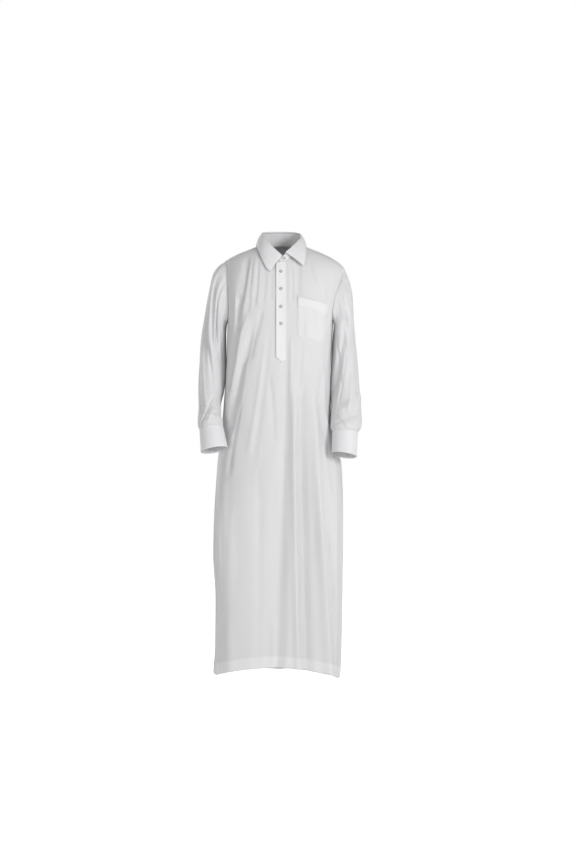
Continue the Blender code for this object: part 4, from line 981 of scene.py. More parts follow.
def within(points, edge, width, fade):
    """1 inside a width from an edge and 0 beyond it."""
    return np.clip((width - from_edge(points, edge)) / fade + 0.5, 0.0, 1.0)


def uneven(points, pinned, sewn, amount=CRUMPLE):
    """Small hollows and swells, longer than they are wide; the cloth rolls in at sewn edges."""
    rise = np.zeros(points.shape[:2])
    for index in np.ndindex(*rise.shape):
        x, y, z = points[index] / CRUMPLE_SIZE
        at = Vector((x + CRUMPLE_SEED, y, z / CRUMPLE_STRETCH))
        rise[index] = noise.noise(at, noise_basis="PERLIN_ORIGINAL") * amount
    for edge in pinned:
        rise *= np.clip(from_edge(points, edge) / CRUMPLE_FADE, 0.0, 1.0)
    dip = np.zeros(rise.shape)
    for edge in sewn:
        dip = np.maximum(dip, SEAM_DIP * np.exp(-(from_edge(points, edge) / SEAM_REACH) ** 2))
    return rise - dip


# Meshes

def linked(name, data):
    item = bpy.data.objects.new(name, data)
    bpy.context.scene.collection.objects.link(item)
    return item


def mesh_item(name, places, faces, material):
    mesh = bpy.data.meshes.new(name)
    mesh.from_pydata(np.asarray(places).tolist(), [], faces)
    mesh.materials.append(material)
    mesh.shade_smooth()
    return linked(name, mesh)


def finish_piece(item, node=None):
    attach(item, "root")
    if node:
        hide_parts(node)
    return item


def shell(node, points, material, thick, ring=False, skipped=None, layers=0.0):
    """A thin closed wall of cloth inward from a grid, its rims rounded, over a node's solid."""
    shape = points.shape[:2]
    count = shape[0] * shape[1]
    thick = np.broadcast_to(thick, shape)
    flat = points.reshape(-1, 3)
    inner = raised(points, -thick, ring).reshape(-1, 3)
    index = np.arange(count).reshape(shape)
    wide = np.concatenate([index, index[:, :1]], axis=1) if ring else index
    cells = np.stack([wide[:-1, :-1], wide[:-1, 1:], wide[1:, 1:], wide[1:, :-1]], axis=-1)
    if skipped is not None:
        cells = cells[~skipped]
    cells = cells.reshape(-1, 4)
    ends = np.concatenate([cells[:, [k, (k + 1) % 4]] for k in range(4)])
    keys = np.sort(ends, axis=1) @ np.array((count, 1))
    _, where, uses = np.unique(keys, return_index=True, return_counts=True)
    rims = ends[where[uses == 1]]
    centres = flat[cells].mean(axis=1)
    away = np.zeros((count, 3))
    for k in range(4):
        np.add.at(away, cells[:, k], flat[cells[:, k]] - centres)
    edge = np.unique(rims)
    bulge = (flat[edge] + inner[edge]) / 2.0
    bulge += unit(away)[edge] * thick.reshape(-1)[edge][:, None] * RIM_BULGE
    middle = np.full(count, -1)
    middle[edge] = 2 * count + np.arange(len(edge))
    faces = [cell[::-1] for cell in cells.tolist()] + (cells + count).tolist()
    for a, b in rims.tolist():
        faces += [[a, b, middle[b], middle[a]], [middle[a], middle[b], b + count, a + count]]
    seen = np.isin(np.arange(count), cells)
    used = np.concatenate([seen, seen, np.ones(len(edge), dtype=bool)])
    number = np.cumsum(used) - 1
    places = np.concatenate([flat, inner, bulge])[used]
    faces = [number[face].tolist() for face in faces]
    item = mesh_item(node + "_cloth", places, faces, material)

    def on_both_sides(values):
        return np.concatenate([values, values, values[edge]])[used].astype(np.float32)

    cut = on_both_sides(np.stack([lengths(points, axis).reshape(-1) for axis in (1, 0)], axis=1))
    corners = np.zeros(len(item.data.loops), dtype=np.int32)
    item.data.loops.foreach_get("vertex_index", corners)
    item.data.uv_layers.new(name="cut").data.foreach_set("uv", cut[corners].ravel())
    level = on_both_sides(np.broadcast_to(layers, shape).reshape(-1))
    item.data.attributes.new("layers", "FLOAT", "POINT").data.foreach_set("value", level)
    return finish_piece(item, node)


def circle(middle, side, up, radius, count):
    turns = [2.0 * math.pi * k / count for k in range(count)]
    return [middle + (side * math.cos(turn) + up * math.sin(turn)) * radius for turn in turns]


def tube_faces(first, rings, sides):
    """Faces of a closed tube whose rings of places start at a number."""
    faces = []
    for ring in range(rings - 1):
        for k in range(sides):
            a = first + ring * sides + k
            b = first + ring * sides + (k + 1) % sides
            faces.append((a, b, b + sides, a + sides))
    last = first + (rings - 1) * sides
    faces.append(tuple(first + k for k in reversed(range(sides))))
    faces.append(tuple(last + k for k in range(sides)))
    return faces


# Sewing thread

def way_along(line):
    return np.concatenate([[0.0], np.cumsum(np.linalg.norm(np.diff(line, axis=0), axis=1))])


def place_along(at, way, line):
    return np.array([np.interp(at, way, line[:, axis]) for axis in range(3)])


def line_inside(points, edge, distance, ends=(0.0, 0.0)):
    """A line a given distance inside an edge, shorter at its ends, and the cloth's way out."""
    outs = outward(points)
    if edge in ("top", "bottom"):
        points, outs = points.transpose(1, 0, 2), outs.transpose(1, 0, 2)
    if edge in ("bottom", "right"):
        points, outs = points[:, ::-1], outs[:, ::-1]
    run = lengths(points, 1)
    line = np.array([place_along(distance, way, row) for way, row in zip(run, points)])
    normals = unit(np.array([place_along(distance, way, row) for way, row in zip(run, outs)]))
    way = way_along(line)
    kept = (way >= ends[0]) & (way <= way[-1] - ends[1])
    return line[kept], normals[kept]


def lines_inside(points, edges, distance, ends):
    return [line_inside(points, edge, distance, ends) for edge in edges]


def stitches(name, lines, thread):
    """Rows of short stitches lying along lines on the cloth."""
    verts, faces = [], []
    for line, normals in lines:
        way = way_along(line)
        count = max(int(way[-1] / STITCH_PITCH), 1)
        for at in (np.arange(count) + 0.5) * way[-1] / count:
            start = place_along(at - 0.5 * STITCH_LENGTH, way, line)
            along = place_along(at + 0.5 * STITCH_LENGTH, way, line) - start
            normal = unit(place_along(at, way, normals))
            side = unit(np.cross(normal, along))
            faces += tube_faces(len(verts), len(STITCH_RINGS), STITCH_SIDES)
            for part, swell in STITCH_RINGS:
                middle = start + along * part + normal * THREAD * (swell * 0.5 - STITCH_SINK)
                verts += circle(middle, side, normal, THREAD * 0.5 * swell, STITCH_SIDES)
    return finish_piece(mesh_item("stitches_" + name, verts, faces, thread))


# Front

LAST_FRONT = len(ARMHOLE) - 1 - YOKE_FRONT_STATION
LAST_BACK = len(ARMHOLE) - 1 - YOKE_BACK_STATION
WINDOW = FRONT_SIDE_COLUMNS + FRONT_NECK_COLUMNS
COLUMNS = 2 * WINDOW + 2
WINDOW_ROW = 1.0 + (WINDOW_BOTTOM - UNDERARM) / (hem_height(0.0) - UNDERARM)


def station_round(first, at):
    """Round angle of the armhole at a part of the way between two of its stations."""
    at = min(max(at, 0.0), len(ARMHOLE) - 1 - first)
    k = min(int(at), len(ARMHOLE) - 2 - first)
    return mix(ARMHOLE[first + k].round, ARMHOLE[first + k + 1].round, at - k)


def side_and_step(column):
    return (-1, column) if column <= WINDOW else (1, COLUMNS - column)


@lru_cache(maxsize=None)
def front_top(column):
    """Reach and spread of the front's upper edge."""
    side, step = side_and_step(column)
    if step <= FRONT_SIDE_COLUMNS:
        start = armhole_place(side, ARMHOLE[YOKE_FRONT_STATION].round)
        end = neck_place(side * NECK_CORNER)
        part = step / FRONT_SIDE_COLUMNS
        return mix(start[0], end[0], part), mix(start[1], end[1], part)
    last = asin_of(abs(WINDOW_LEFT if side < 0 else WINDOW_RIGHT) / NECK_HALF)
    part = (step - FRONT_SIDE_COLUMNS) / FRONT_NECK_COLUMNS
    return neck_place(side * mix(NECK_CORNER, last, part))


def strip_top(across):
    """Reach and spread of the neck seam over the placket; across goes from -1 to 1."""
    ends = [asin_of(x / NECK_HALF) for x in (WINDOW_LEFT, WINDOW_RIGHT)]
    return neck_place(mix(ends[0], ends[1], (across + 1.0) / 2.0))


def strip_place(row, across):
    """Angle and way of a place of the placket's strip."""
    x = mix(WINDOW_LEFT, WINDOW_RIGHT, (across + 1.0) / 2.0)
    if row <= 1.0:
        turn = ARM["turn"](station_round(YOKE_FRONT_STATION, row * LAST_FRONT))
        drop = turn / ARMHOLE[YOKE_FRONT_STATION].turn
        top = strip_top(max(min(across, STRIP_TOP_REACH), -STRIP_TOP_REACH))
        here = (90.0 + top[1]) * drop
        return over_shoulder(x / half_width(x, here), here - 90.0)
    z = mix(UNDERARM, hem_height(0.0), row - 1.0)
    return asin_of(x / RING["left" if x < 0.0 else "right"](z)), row


def front_place(row, column):
    """Angle and way of a place of the front; rows 0 to 1 run down the armhole."""
    if WINDOW < column < WINDOW + 2:
        return strip_place(row, column - WINDOW - 1.0)
    side, step = side_and_step(column)
    inner = strip_place(row, side)
    even = 1.0 - crowded(1.0 - step / WINDOW)
    if row > 1.0:
        return mix(side * 90.0, inner[0], even), row
    round_angle = station_round(YOKE_FRONT_STATION, row * LAST_FRONT)
    arm_turn = ARM["turn"](round_angle)
    drop = arm_turn / ARMHOLE[YOKE_FRONT_STATION].turn
    reach, spread = front_top(column)
    first = front_top(0 if side < 0 else COLUMNS)[0]
    last = front_top(WINDOW if side < 0 else WINDOW + 2)[0]
    edge = armhole_place(side, round_angle)[0]
    part = mix(step / WINDOW, (reach - first) / (last - first), drop)
    turn = (90.0 + spread) * drop
    x = WINDOW_LEFT if side < 0 else WINDOW_RIGHT
    angle, way = over_shoulder(mix(edge, x / half_width(x, turn), part), turn - 90.0)
    edge_angle = over_shoulder(edge, arm_turn - 90.0)[0]
    return mix(angle, mix(edge_angle, inner[0], even), ease(row)), way


def hem_pucker(points, seed):
    """The hem's stitched line draws the cloth in a little, unevenly."""
    down = from_edge(points, "bottom") - HEM_WIDTH
    across = lengths(points, 1)
    sway = np.sin(across * PUCKER_DRIFT + seed) * PUCKER_SWAY
    wave = np.sin(across / PUCKER_PITCH * 2.0 * math.pi + sway)
    line = np.exp(-(down / HEM_LINE_REACH) ** 2)
    near = np.exp(-(down / PUCKER_REACH) ** 2)
    return -HEM_LINE_DIP * line + PUCKER * wave * near


def body_wall(node, points, cloth, sewn, seed, skipped=None):
    """A long panel with a turned-up hem, whiter where the hem and the seams double it."""
    rise = uneven(points, ("top", "left", "right"), sewn) + hem_pucker(points, seed)
    points = raised(points, rise)
    hem = within(points, "bottom", HEM_WIDTH, HEM_FADE)
    double = hem
    for edge in sewn:
        double = np.maximum(double, within(points, edge, SEAM_ALLOWANCE, SEAM_FADE))
    thick = CLOTH + (HEM_CLOTH - CLOTH) * hem
    item = shell(node, points, cloth, thick, skipped=skipped, layers=double * HEM_WHITE)
    return item, points


def make_front(cloth, thread):
    rows = steps(FRONT_UPPER_ROWS) + steps(FRONT_WINDOW_ROWS, 1.0, WINDOW_ROW)[1:]
    rows += steps(FRONT_SKIRT_ROWS, WINDOW_ROW, 2.0)[1:]
    side = crowded_ends(FRONT_SIDE_STEPS, 0.0, WINDOW, FRONT_CROWDING)[:-1]
    columns = side + steps(FRONT_STRIP_STEPS, WINDOW, WINDOW + 2)
    columns += [COLUMNS - column for column in reversed(side)]
    points = grid(rows, columns, lambda row, column: body(*front_place(row, column)))
    skipped = np.zeros((len(rows) - 1, len(columns) - 1), dtype=bool)
    lowest = FRONT_UPPER_ROWS + FRONT_WINDOW_ROWS
    skipped[:lowest, FRONT_SIDE_STEPS:FRONT_SIDE_STEPS + FRONT_STRIP_STEPS] = True
    item, points = body_wall("front", points, cloth, ("left", "right"), FRONT_PUCKER_SEED, skipped)
    top = int(np.searchsorted(side, FRONT_SIDE_COLUMNS))
    lines = lines_inside(points[:FRONT_UPPER_ROWS], ("left", "right"), ARMHOLE_STITCH, SEAM_ENDS)
    lines.append(line_inside(points[:, :top], "top", YOKE_STITCH, (SEAM_ENDS[0], 0.0)))
    lines.append(line_inside(points[:, -top:], "top", YOKE_STITCH, (0.0, SEAM_ENDS[1])))
    lines.append(line_inside(points, "bottom", HEM_WIDTH))
    sewing = stitches("front", lines, thread)


# Back and yoke

@lru_cache(maxsize=None)
def back_top(part):
    """Angle and spread of the back's upper edge, from the wearer's right to the left."""
    ends = [armhole_place(side, -ARMHOLE[YOKE_BACK_STATION].round) for side in (-1, 1)]
    heights = [body_base(*over_shoulder(*end)).z for end in ends]
    if part in (0.0, 1.0):
        reach, spread = ends[int(part)]
    else:
        reach = mix(ends[0][0], ends[1][0], part)
        spread = spread_at_height(reach, mix(heights[0], heights[1], part))
    return over_shoulder(reach, spread)[0], spread


def back_place(row, part):
    if row > 1.0:
        return back_angle(part, 270.0, 90.0), row
    round_angle = station_round(YOKE_BACK_STATION, row * LAST_BACK)
    drop = ARM["turn"](round_angle) / ARMHOLE[YOKE_BACK_STATION].turn
    left, right = (over_shoulder(*armhole_place(side, -round_angle))[0] for side in (-1, 1))
    left += 360.0 if left < 0.0 else 0.0
    start, spread = back_top(part)
    even = back_angle(part, left, right)
    angle = mix(even, start, drop) if 0.0 < part < 1.0 else even
    return angle, 1.0 - (90.0 - spread) * drop / 90.0


def make_back(cloth, thread):
    rows = steps(BACK_UPPER_ROWS) + steps(BACK_SKIRT_ROWS, 1.0, 2.0)[1:]
    columns = crowded_ends(BACK_STEPS, 0.0, 1.0, BACK_CROWDING)
    points = grid(rows, columns, lambda row, part: body(*back_place(row, part)))
    item, points = body_wall("back", points, cloth, ("left", "right", "top"), BACK_PUCKER_SEED)
    lines = lines_inside(points[:BACK_UPPER_ROWS], ("left", "right"), ARMHOLE_STITCH, SEAM_ENDS)
    lines.append(line_inside(points, "bottom", HEM_WIDTH))
    sewing = stitches("back", lines, thread)


YOKE_FRONT_END = float(YOKE_FRONT_STATION)
YOKE_SEAM_START = YOKE_FRONT_END + YOKE_BACK_STATION
YOKE_SEAM_END = YOKE_SEAM_START + BACK_COLUMNS
YOKE_LAST = YOKE_SEAM_END + YOKE_SEAM_START


def yoke_edge(column):
    """Reach and spread of the yoke's outer edge, round from front to front."""
    mirrored = column > YOKE_SEAM_END
    step = YOKE_LAST - column if mirrored else column
    if step >= YOKE_SEAM_START:
        angle, spread = back_top((column - YOKE_SEAM_START) / BACK_COLUMNS)
        return sin_of(angle), spread
    if step < YOKE_FRONT_END:
        round_angle = mix(ARMHOLE[YOKE_FRONT_STATION].round, 0.0, step / YOKE_FRONT_END)
    else:
        at = step - YOKE_FRONT_END
        k = min(int(at), YOKE_BACK_STATION - 1)
        round_angle = -mix(ARMHOLE[k].round, ARMHOLE[k + 1].round, at - k)
    return armhole_place(1 if mirrored else -1, round_angle)


def yoke_point(part, column):
    outer = yoke_edge(column)
    neck = neck_place(mix(-NECK_CORNER, -360.0 + NECK_CORNER, column / YOKE_LAST))
    return body(*over_shoulder(mix(outer[0], neck[0], part), mix(outer[1], neck[1], part)))


def make_yoke(cloth, thread):
    columns = steps(YOKE_ARM_STEPS, 0.0, YOKE_SEAM_START)
    columns += steps(YOKE_BACK_STEPS, YOKE_SEAM_START, YOKE_SEAM_END)[1:]
    columns += steps(YOKE_ARM_STEPS, YOKE_SEAM_END, YOKE_LAST)[1:]
    points = grid(crowded_ends(YOKE_ROWS, 0.0, 1.0, YOKE_CROWDING), columns, yoke_point)[:, ::-1]
    sewn = ("top", "left", "right")
    points = raised(points, uneven(points, (*sewn, "bottom"), sewn, YOKE_CRUMPLE))
    item = shell("yoke", points, cloth, CLOTH, layers=1.0)
    lines = [line_inside(points[:, YOKE_ARM_STEPS:-YOKE_ARM_STEPS], "top", YOKE_STITCH)]
    lines += lines_inside(points, ("left", "right"), YOKE_STITCH, SEAM_ENDS)
    sewing = stitches("yoke", lines, thread)


# Sleeves and cuffs

def make_sleeve(node, side, cloth):
    rounds = steps(SLEEVE_ROUND_STEPS, -180.0, 180.0)[:-1]
    along = [*SLEEVE_FIRST_ROWS, *steps(SLEEVE_LONG_STEPS, SLEEVE_EVEN_FROM, 1.0)]
    points = grid(along, rounds, lambda part, angle: sleeve(side, angle, part))
    if side > 0:
        points = points[:, ::-1]
    sewn = ("top", "bottom")
    points = raised(points, uneven(points, sewn, sewn), ring=True)
    item = shell(node, points, cloth, CLOTH, ring=True)


def make_cuff(node, side, cloth, thread):
    """A stiff band with stitched edges, wound once round the wrist."""
    angles = steps(CUFF_ROUND_STEPS, CUFF_OPENING, CUFF_OPENING - 360.0 - CUFF_LAP)
    points = grid(steps(CUFF_LONG_STEPS), angles, lambda part, angle: cuff_place(side, angle, part))
    if side < 0:
        points = points[:, ::-1]
    item = shell(node, points, cloth, BAND)
    lines = [line_inside(points, "bottom", CUFF_STITCH, CUFF_ENDS),
             line_inside(points, "top", CUFF_STITCH * 0.5, CUFF_ENDS)]
    lines += lines_inside(points, ("left", "right"), CUFF_STITCH, CUFF_SIDE_ENDS)
    sewing = stitches(node + "_cloth", lines, thread)


# Collar

def along_section(section, at):
    """A place on a smooth line through a section's points; at runs over their numbers."""
    k = min(int(at), len(section) - 2)
    t = at - k
    before = section[max(k - 1, 0)]
    a, b = section[k], section[k + 1]
    after = section[min(k + 2, len(section) - 1)]
    lean = (b - before) * 0.5 * t * (1.0 - t) ** 2 - (after - a) * 0.5 * t * t * (1.0 - t)
    return a * (1.0 + 2.0 * t) * (1.0 - t) ** 2 + b * t * t * (3.0 - 2.0 * t) + lean


def stand_rounded(part, angle):
    """The stand's outer side, its lapped end rounded at the top."""
    drop = STAND_ROUNDING * max(part - 0.5, 0.0) * 2.0
    return stand_point(angle, part - drop * ease((angle - STAND_LAP_FULL) / STAND_ROUNDING_REACH))


def make_collar(cloth, thread):
    turn = len(TURN_OVER) - 1
    rows = steps(TURN_STEPS, 0.0, turn) + steps(LEAF_STEPS, turn, turn + LEAF_ROWS)[1:]
    angles = steps(COLLAR_STEPS, LEAF_EDGE[0].round, LEAF_EDGE[-1].round)
    points = grid(rows, angles, lambda at, angle: along_section(leaf_section(angle), at))[:, ::-1]
    fall = shell("collar_fall", points, cloth, BAND)
    lines = [line_inside(points, "bottom", COLLAR_STITCH, COLLAR_ENDS)]
    lines += lines_inside(points, ("left", "right"), COLLAR_STITCH, COLLAR_SIDE_ENDS)
    sewing = stitches("collar", lines, thread)

    angles = steps(COLLAR_STEPS, STAND_UNDER_END, STAND_OVER_END)
    points = grid(steps(STAND_STEPS, STAND_TOP, STAND_BOTTOM), angles, stand_rounded)[:, ::-1]
    band = shell("collar_stand", points, cloth, BAND)
    sewing = stitches("stand", [line_inside(points, "bottom", STAND_STITCH, STAND_ENDS)], thread)


# Plackets and pocket

def placket_point(row, across):
    """A place of the upper strip, which goes on to its point below the window."""
    if row <= WINDOW_ROW:
        return body(*strip_place(row, across))
    off = across / PLACKET_REACH
    corner = PLACKET_CORNER_LEFT if off < 0.0 else PLACKET_CORNER_RIGHT
    drop = mix(PLACKET_TIP, corner, min(abs(off) / PLACKET_CORNER_AT, 1.0))
    angle, way = strip_place(WINDOW_ROW, across)
    return body(angle, way + (row - WINDOW_ROW) * drop / (UNDERARM - hem_height(0.0)))


def make_plackets(cloth, thread):
    rows = steps(PLACKET_UPPER_ROWS) + steps(PLACKET_LOWER_ROWS, 1.0, WINDOW_ROW)[1:]
    columns = steps(PLACKET_STEPS, -PLACKET_UNDER_REACH, PLACKET_UNDER_REACH)
    under = grid(rows, columns, lambda row, across: body(*strip_place(row, across)))
    item = shell("placket_under", under, cloth, CLOTH, layers=1.0)

    rows += steps(PLACKET_POINT_ROWS, WINDOW_ROW, WINDOW_ROW + 1.0)[1:]
    points = grid(rows, steps(PLACKET_STEPS, -PLACKET_REACH, PLACKET_REACH), placket_point)
    points[0] += unit(points[1] - points[0]) * PLACKET_TOP_TRIM
    lift = PLACKET_LIFT * np.exp(-from_edge(points, "left") / PLACKET_LIFT_REACH)
    points = raised(points, LAID_GAP + BAND + lift)
    item = shell("placket_upper", points, cloth, BAND, layers=1.0)
    lines = lines_inside(points, ("left", "right"), PLACKET_STITCH, PLACKET_SIDE_ENDS)
    lines += [line_inside(points, "bottom", up, PLACKET_ENDS) for up in (PLACKET_STITCH, PLACKET_BAR)]
    sewing = stitches("placket", lines, thread)


def pocket_point(down, across):
    place = on_front(*pocket_place(across, down))
    return body(*place) + body_out(*place) * (POCKET_GAP + CLOTH)


def make_pocket(cloth, thread):
    points = grid(steps(POCKET_FINE_ROWS), steps(POCKET_FINE_STEPS), pocket_point)
    band = within(points, "top", POCKET_BAND, POCKET_BAND_FADE)
    crease = np.array([[fold_depth(POCKET_FOLDS, x, z) for x, _, z in row] for row in points])
    crease *= np.clip(from_edge(points, "top") / POCKET_CREASE_FADE, 0.0, 1.0)
    points = raised(points, band * POCKET_BAND_EXTRA + crease)
    white = np.maximum(band * POCKET_BAND_WHITE, POCKET_WHITE)
    thick = CLOTH + band * POCKET_BAND_EXTRA
    item = shell("pocket", points, cloth, thick, layers=white)
    lines = lines_inside(points, ("left", "right", "bottom"), POCKET_STITCH, POCKET_ENDS)
    lines.append(line_inside(points, "top", POCKET_BAND_STITCH, POCKET_BAND_ENDS))
    sewing = stitches("pocket", lines, thread)


# Buttons

def make_button(node, pearl, thread):
    """A turned button with a crossed thread on its face, in place of its plain solid."""
    places = np.array([vert.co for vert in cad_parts[node].data.vertices])
    middle = places.mean(axis=0)
    axis = Vector(np.linalg.svd(places - middle)[2][2])
    if axis.dot(Vector((middle[0], middle[1], 0.0))) < 0.0:
        axis = -axis
    base = Vector(middle) + axis * float(np.dot(places - middle, axis).min())
    stand = Matrix.Translation(base) @ axis.to_track_quat("Z", "Y").to_matrix().to_4x4()
    right, ahead, up = np.eye(3)
    verts = []
    for radius, height in BUTTON_PROFILE:
        verts += circle(up * height, right, ahead, radius, BUTTON_FINE_SIDES)
    faces = tube_faces(0, len(BUTTON_PROFILE), BUTTON_FINE_SIDES)
    faces = [face[:1] + face[:0:-1] for face in faces]
    item = mesh_item(node + "_pearl", verts, faces, pearl)
    item.matrix_world = stand
    finish_piece(item, node)

    verts, faces = [], []
    out = np.array(axis)
    for sign in (-1.0, 1.0):
        line = []
        for part in steps(CROSS_STEPS):
            across = mix(-BUTTON_HOLE, BUTTON_HOLE, part)
            height = BUTTON_FACE + CROSS_RISE * math.sin(math.pi * part)
            line.append(np.array(stand @ Vector((across, sign * across, height))))
        faces += tube_faces(len(verts), len(line), CROSS_SIDES)
        for k, place in enumerate(line):
            along = unit(line[min(k + 1, CROSS_STEPS)] - line[max(k - 1, 0)])
            verts += circle(place, unit(np.cross(out, along)), out, BUTTON_THREAD, CROSS_SIDES)
    finish_piece(mesh_item(node + "_thread", verts, faces, thread))


# Materials

class Nodes:
    """Adds nodes to a material and joins them."""

    def __init__(self, name, colour, roughness):
        self.item = bpy.data.materials.new(name)
        self.item.use_nodes = True
        self.tree = self.item.node_tree
        self.shader = self.tree.nodes["Principled BSDF"]
        self.set(self.shader, {"Base Color": (*colour, 1.0), "Roughness": roughness})

    def set(self, node, values):
        for name, value in values.items():
            node.inputs[name].default_value = value

    def add(self, kind, values=None, **settings):
        node = self.tree.nodes.new(kind)
        for name, value in settings.items():
            setattr(node, name, value)
        self.set(node, values or {})
        return node

    def join(self, start, end):
        self.tree.links.new(start, end)

    def maths(self, operation, first, second):
        node = self.add("ShaderNodeMath", operation=operation)
        for socket, value in zip(node.inputs, (first, second)):
            if isinstance(value, (int, float)):
                socket.default_value = value
            else:
                self.join(value, socket)
        return node.outputs[0]

    def stretched_noise(self, scale_u, scale_v, detail):
        place = self.add("ShaderNodeMapping", {"Scale": (scale_u, scale_v, 1.0)})
        self.join(self.cut.outputs["UV"], place.inputs["Vector"])
        cloud = self.add("ShaderNodeTexNoise", {"Scale": 1.0, "Detail": detail})
        self.join(place.outputs[0], cloud.inputs["Vector"])
        return cloud.outputs["Fac"]

    def between(self, first, second, factor):
        """A colour that goes from one to another with a factor."""
        node = self.add("ShaderNodeMix", data_type="RGBA")
        self.set(node, {"A": (*first, 1.0), "B": (*second, 1.0)})
        self.join(factor, node.inputs["Factor"])
        return node.outputs["Result"]


def cloth_material(name, single, doubled, bump):
    """Fine plain weave with slubs; it lets some light through and is whiter where doubled."""
    made = Nodes(name, single, CLOTH_ROUGHNESS)
    made.cut = made.add("ShaderNodeUVMap", uv_map="cut")
    parts = made.add("ShaderNodeSeparateXYZ")
    made.join(made.cut.outputs["UV"], parts.inputs[0])
    turns = 2.0 * math.pi / THREAD_PITCH
    warp = made.maths("SINE", made.maths("MULTIPLY", parts.outputs["X"], turns), 0.0)
    weft = made.maths("SINE", made.maths("MULTIPLY", parts.outputs["Y"], turns), 0.0)
    weave = made.maths("MULTIPLY", warp, weft)
    slub_down = made.stretched_noise(SLUB_FINE, SLUB_LONG, SLUB_DETAIL)
    slub_across = made.stretched_noise(SLUB_LONG, SLUB_FINE, SLUB_DETAIL)
    slub = made.maths("ADD", slub_down, slub_across)
    cloud = made.stretched_noise(CLOUD_SIZE, CLOUD_SIZE, CLOUD_DETAIL)
    slub_tone = made.maths("MULTIPLY", slub, SLUB_TONE)
    cloud_tone = made.maths("MULTIPLY", cloud, CLOUD_TONE)
    tone = made.maths("ADD", slub_tone, cloud_tone)
    tone = made.maths("ADD", tone, 1.0 - SLUB_TONE - CLOUD_TONE / 2.0)
    layers = made.add("ShaderNodeAttribute", attribute_name="layers")
    toned = made.add("ShaderNodeVectorMath", operation="SCALE")
    made.join(made.between(single, doubled, layers.outputs["Fac"]), toned.inputs[0])
    made.join(tone, toned.inputs["Scale"])
    made.join(toned.outputs[0], made.shader.inputs["Base Color"])
    woven = made.maths("MULTIPLY", weave, WEAVE_HEIGHT)
    height = made.maths("ADD", woven, made.maths("MULTIPLY", slub, SLUB_HEIGHT))
    rumple = made.stretched_noise(RUMPLE_ACROSS, RUMPLE_DOWN, CLOUD_DETAIL)
    height = made.maths("ADD", height, made.maths("MULTIPLY", rumple, bump))
    relief = made.add("ShaderNodeBump", {"Strength": 1.0, "Distance": 1.0})
    made.join(height, relief.inputs["Height"])
    made.join(relief.outputs[0], made.shader.inputs["Normal"])
    made.set(made.shader, CLOTH_FINISH)
    sheer = made.add("ShaderNodeBsdfTranslucent")
    made.join(toned.outputs[0], sheer.inputs["Color"])
    both = made.add("ShaderNodeMixShader", {"Fac": CLOTH_SHEER})
    made.join(made.shader.outputs[0], both.inputs[1])
    made.join(sheer.outputs[0], both.inputs[2])
    made.join(both.outputs[0], made.tree.nodes["Material Output"].inputs["Surface"])
    return made.item


def toned_material(name, colour, tones, finish, kind, values):
    """A material that goes from a darker to a lighter tone over a procedural pattern."""
    made = Nodes(name, colour, finish["Roughness"])
    made.set(made.shader, finish)
    pattern = made.add(kind, values)
    made.join(made.add("ShaderNodeTexCoord").outputs["Object"], pattern.inputs["Vector"])
    ends = [[min(value * tone, 1.0) for value in colour] for tone in tones]
    made.join(made.between(*ends, pattern.outputs["Fac"]), made.shader.inputs["Base Color"])
    return made


def floor_material():
    made = toned_material("pale_floor", FLOOR_COLOUR, *FLOOR_LOOK)
    seen = made.maths("MULTIPLY", made.add("ShaderNodeLightPath").outputs["Is Camera Ray"], FLOOR_GLOW)
    made.join(seen, made.shader.inputs["Emission Strength"])
    return made.item


# Studio

def area_light(name, place, target_height, size, energy):
    light = bpy.data.lights.new(name, "AREA")
    light.shape = "DISK"
    light.size = size
    light.energy = energy
    item = linked(name, light)
    item.location = place
    target = Vector((0.0, 0.0, target_height))
    item.rotation_euler = (target - Vector(place)).to_track_quat("-Z", "Y").to_euler()


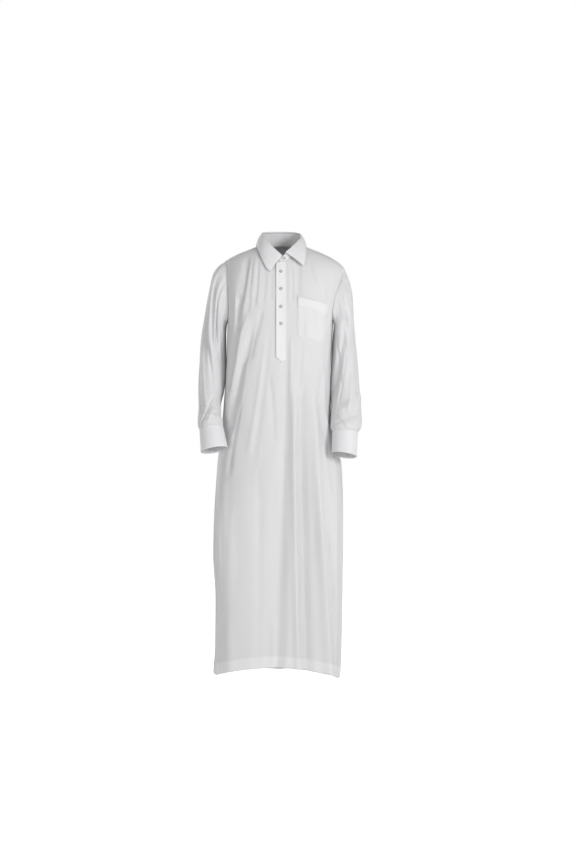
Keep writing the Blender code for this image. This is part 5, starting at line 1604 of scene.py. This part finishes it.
def studio():
    scene = bpy.context.scene
    scene.view_settings.view_transform = "Standard"
    world = bpy.data.worlds.new("studio")
    scene.world = world
    world.use_nodes = True
    tree = world.node_tree
    skies = (tree.nodes["Background"], tree.nodes.new("ShaderNodeBackground"))
    for sky, strength in zip(skies, (AMBIENT, 1.0)):
        sky.inputs["Color"].default_value = (1.0, 1.0, 1.0, 1.0)
        sky.inputs["Strength"].default_value = strength
    path = tree.nodes.new("ShaderNodeLightPath")
    both = tree.nodes.new("ShaderNodeMixShader")
    tree.links.new(path.outputs["Is Camera Ray"], both.inputs["Fac"])
    tree.links.new(skies[0].outputs[0], both.inputs[1])
    tree.links.new(skies[1].outputs[0], both.inputs[2])
    tree.links.new(both.outputs[0], tree.nodes["World Output"].inputs["Surface"])
    for light in LIGHTS:
        area_light(*light)
    bpy.ops.mesh.primitive_circle_add(vertices=FLOOR_SIDES, radius=FLOOR_RADIUS,
                                      fill_type="NGON", location=(0.0, 0.0, FLOOR))
    floor = bpy.context.object
    floor.name = "floor"
    floor.data.materials.append(floor_material())
    camera = bpy.data.cameras.new("camera")
    camera.sensor_fit = "VERTICAL"
    camera.sensor_height = SENSOR
    camera.lens = SENSOR * CAMERA_DISTANCE / VIEW_HEIGHT
    item = linked("camera", camera)
    item.location = (CAMERA_ACROSS, -CAMERA_DISTANCE, CAMERA_HEIGHT)
    item.rotation_euler = (math.radians(90.0), 0.0, 0.0)
    scene.camera = item


def main():
    cloth = cloth_material("body_weave", CLOTH_SINGLE, CLOTH_DOUBLED, RUMPLE_HEIGHT)
    band = cloth_material("band_weave", BAND_WHITE, BAND_WHITE, BAND_RUMPLE_HEIGHT)
    thread = toned_material("sewing_thread", THREAD_COLOUR, *THREAD_LOOK).item
    pearl = toned_material("button_pearl", PEARL, *PEARL_LOOK).item
    make_front(cloth, thread)
    make_back(cloth, thread)
    make_yoke(cloth, thread)
    for name, side in (("left", 1), ("right", -1)):
        make_sleeve("sleeve_" + name, side, cloth)
    for name, side in (("left", 1), ("right", -1)):
        make_cuff("cuff_" + name, side, band, thread)
    make_collar(band, thread)
    make_plackets(cloth, thread)
    make_pocket(cloth, thread)
    for node in sorted(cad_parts):
        if node.startswith("button"):
            make_button(node, pearl, thread)
    studio()


main()
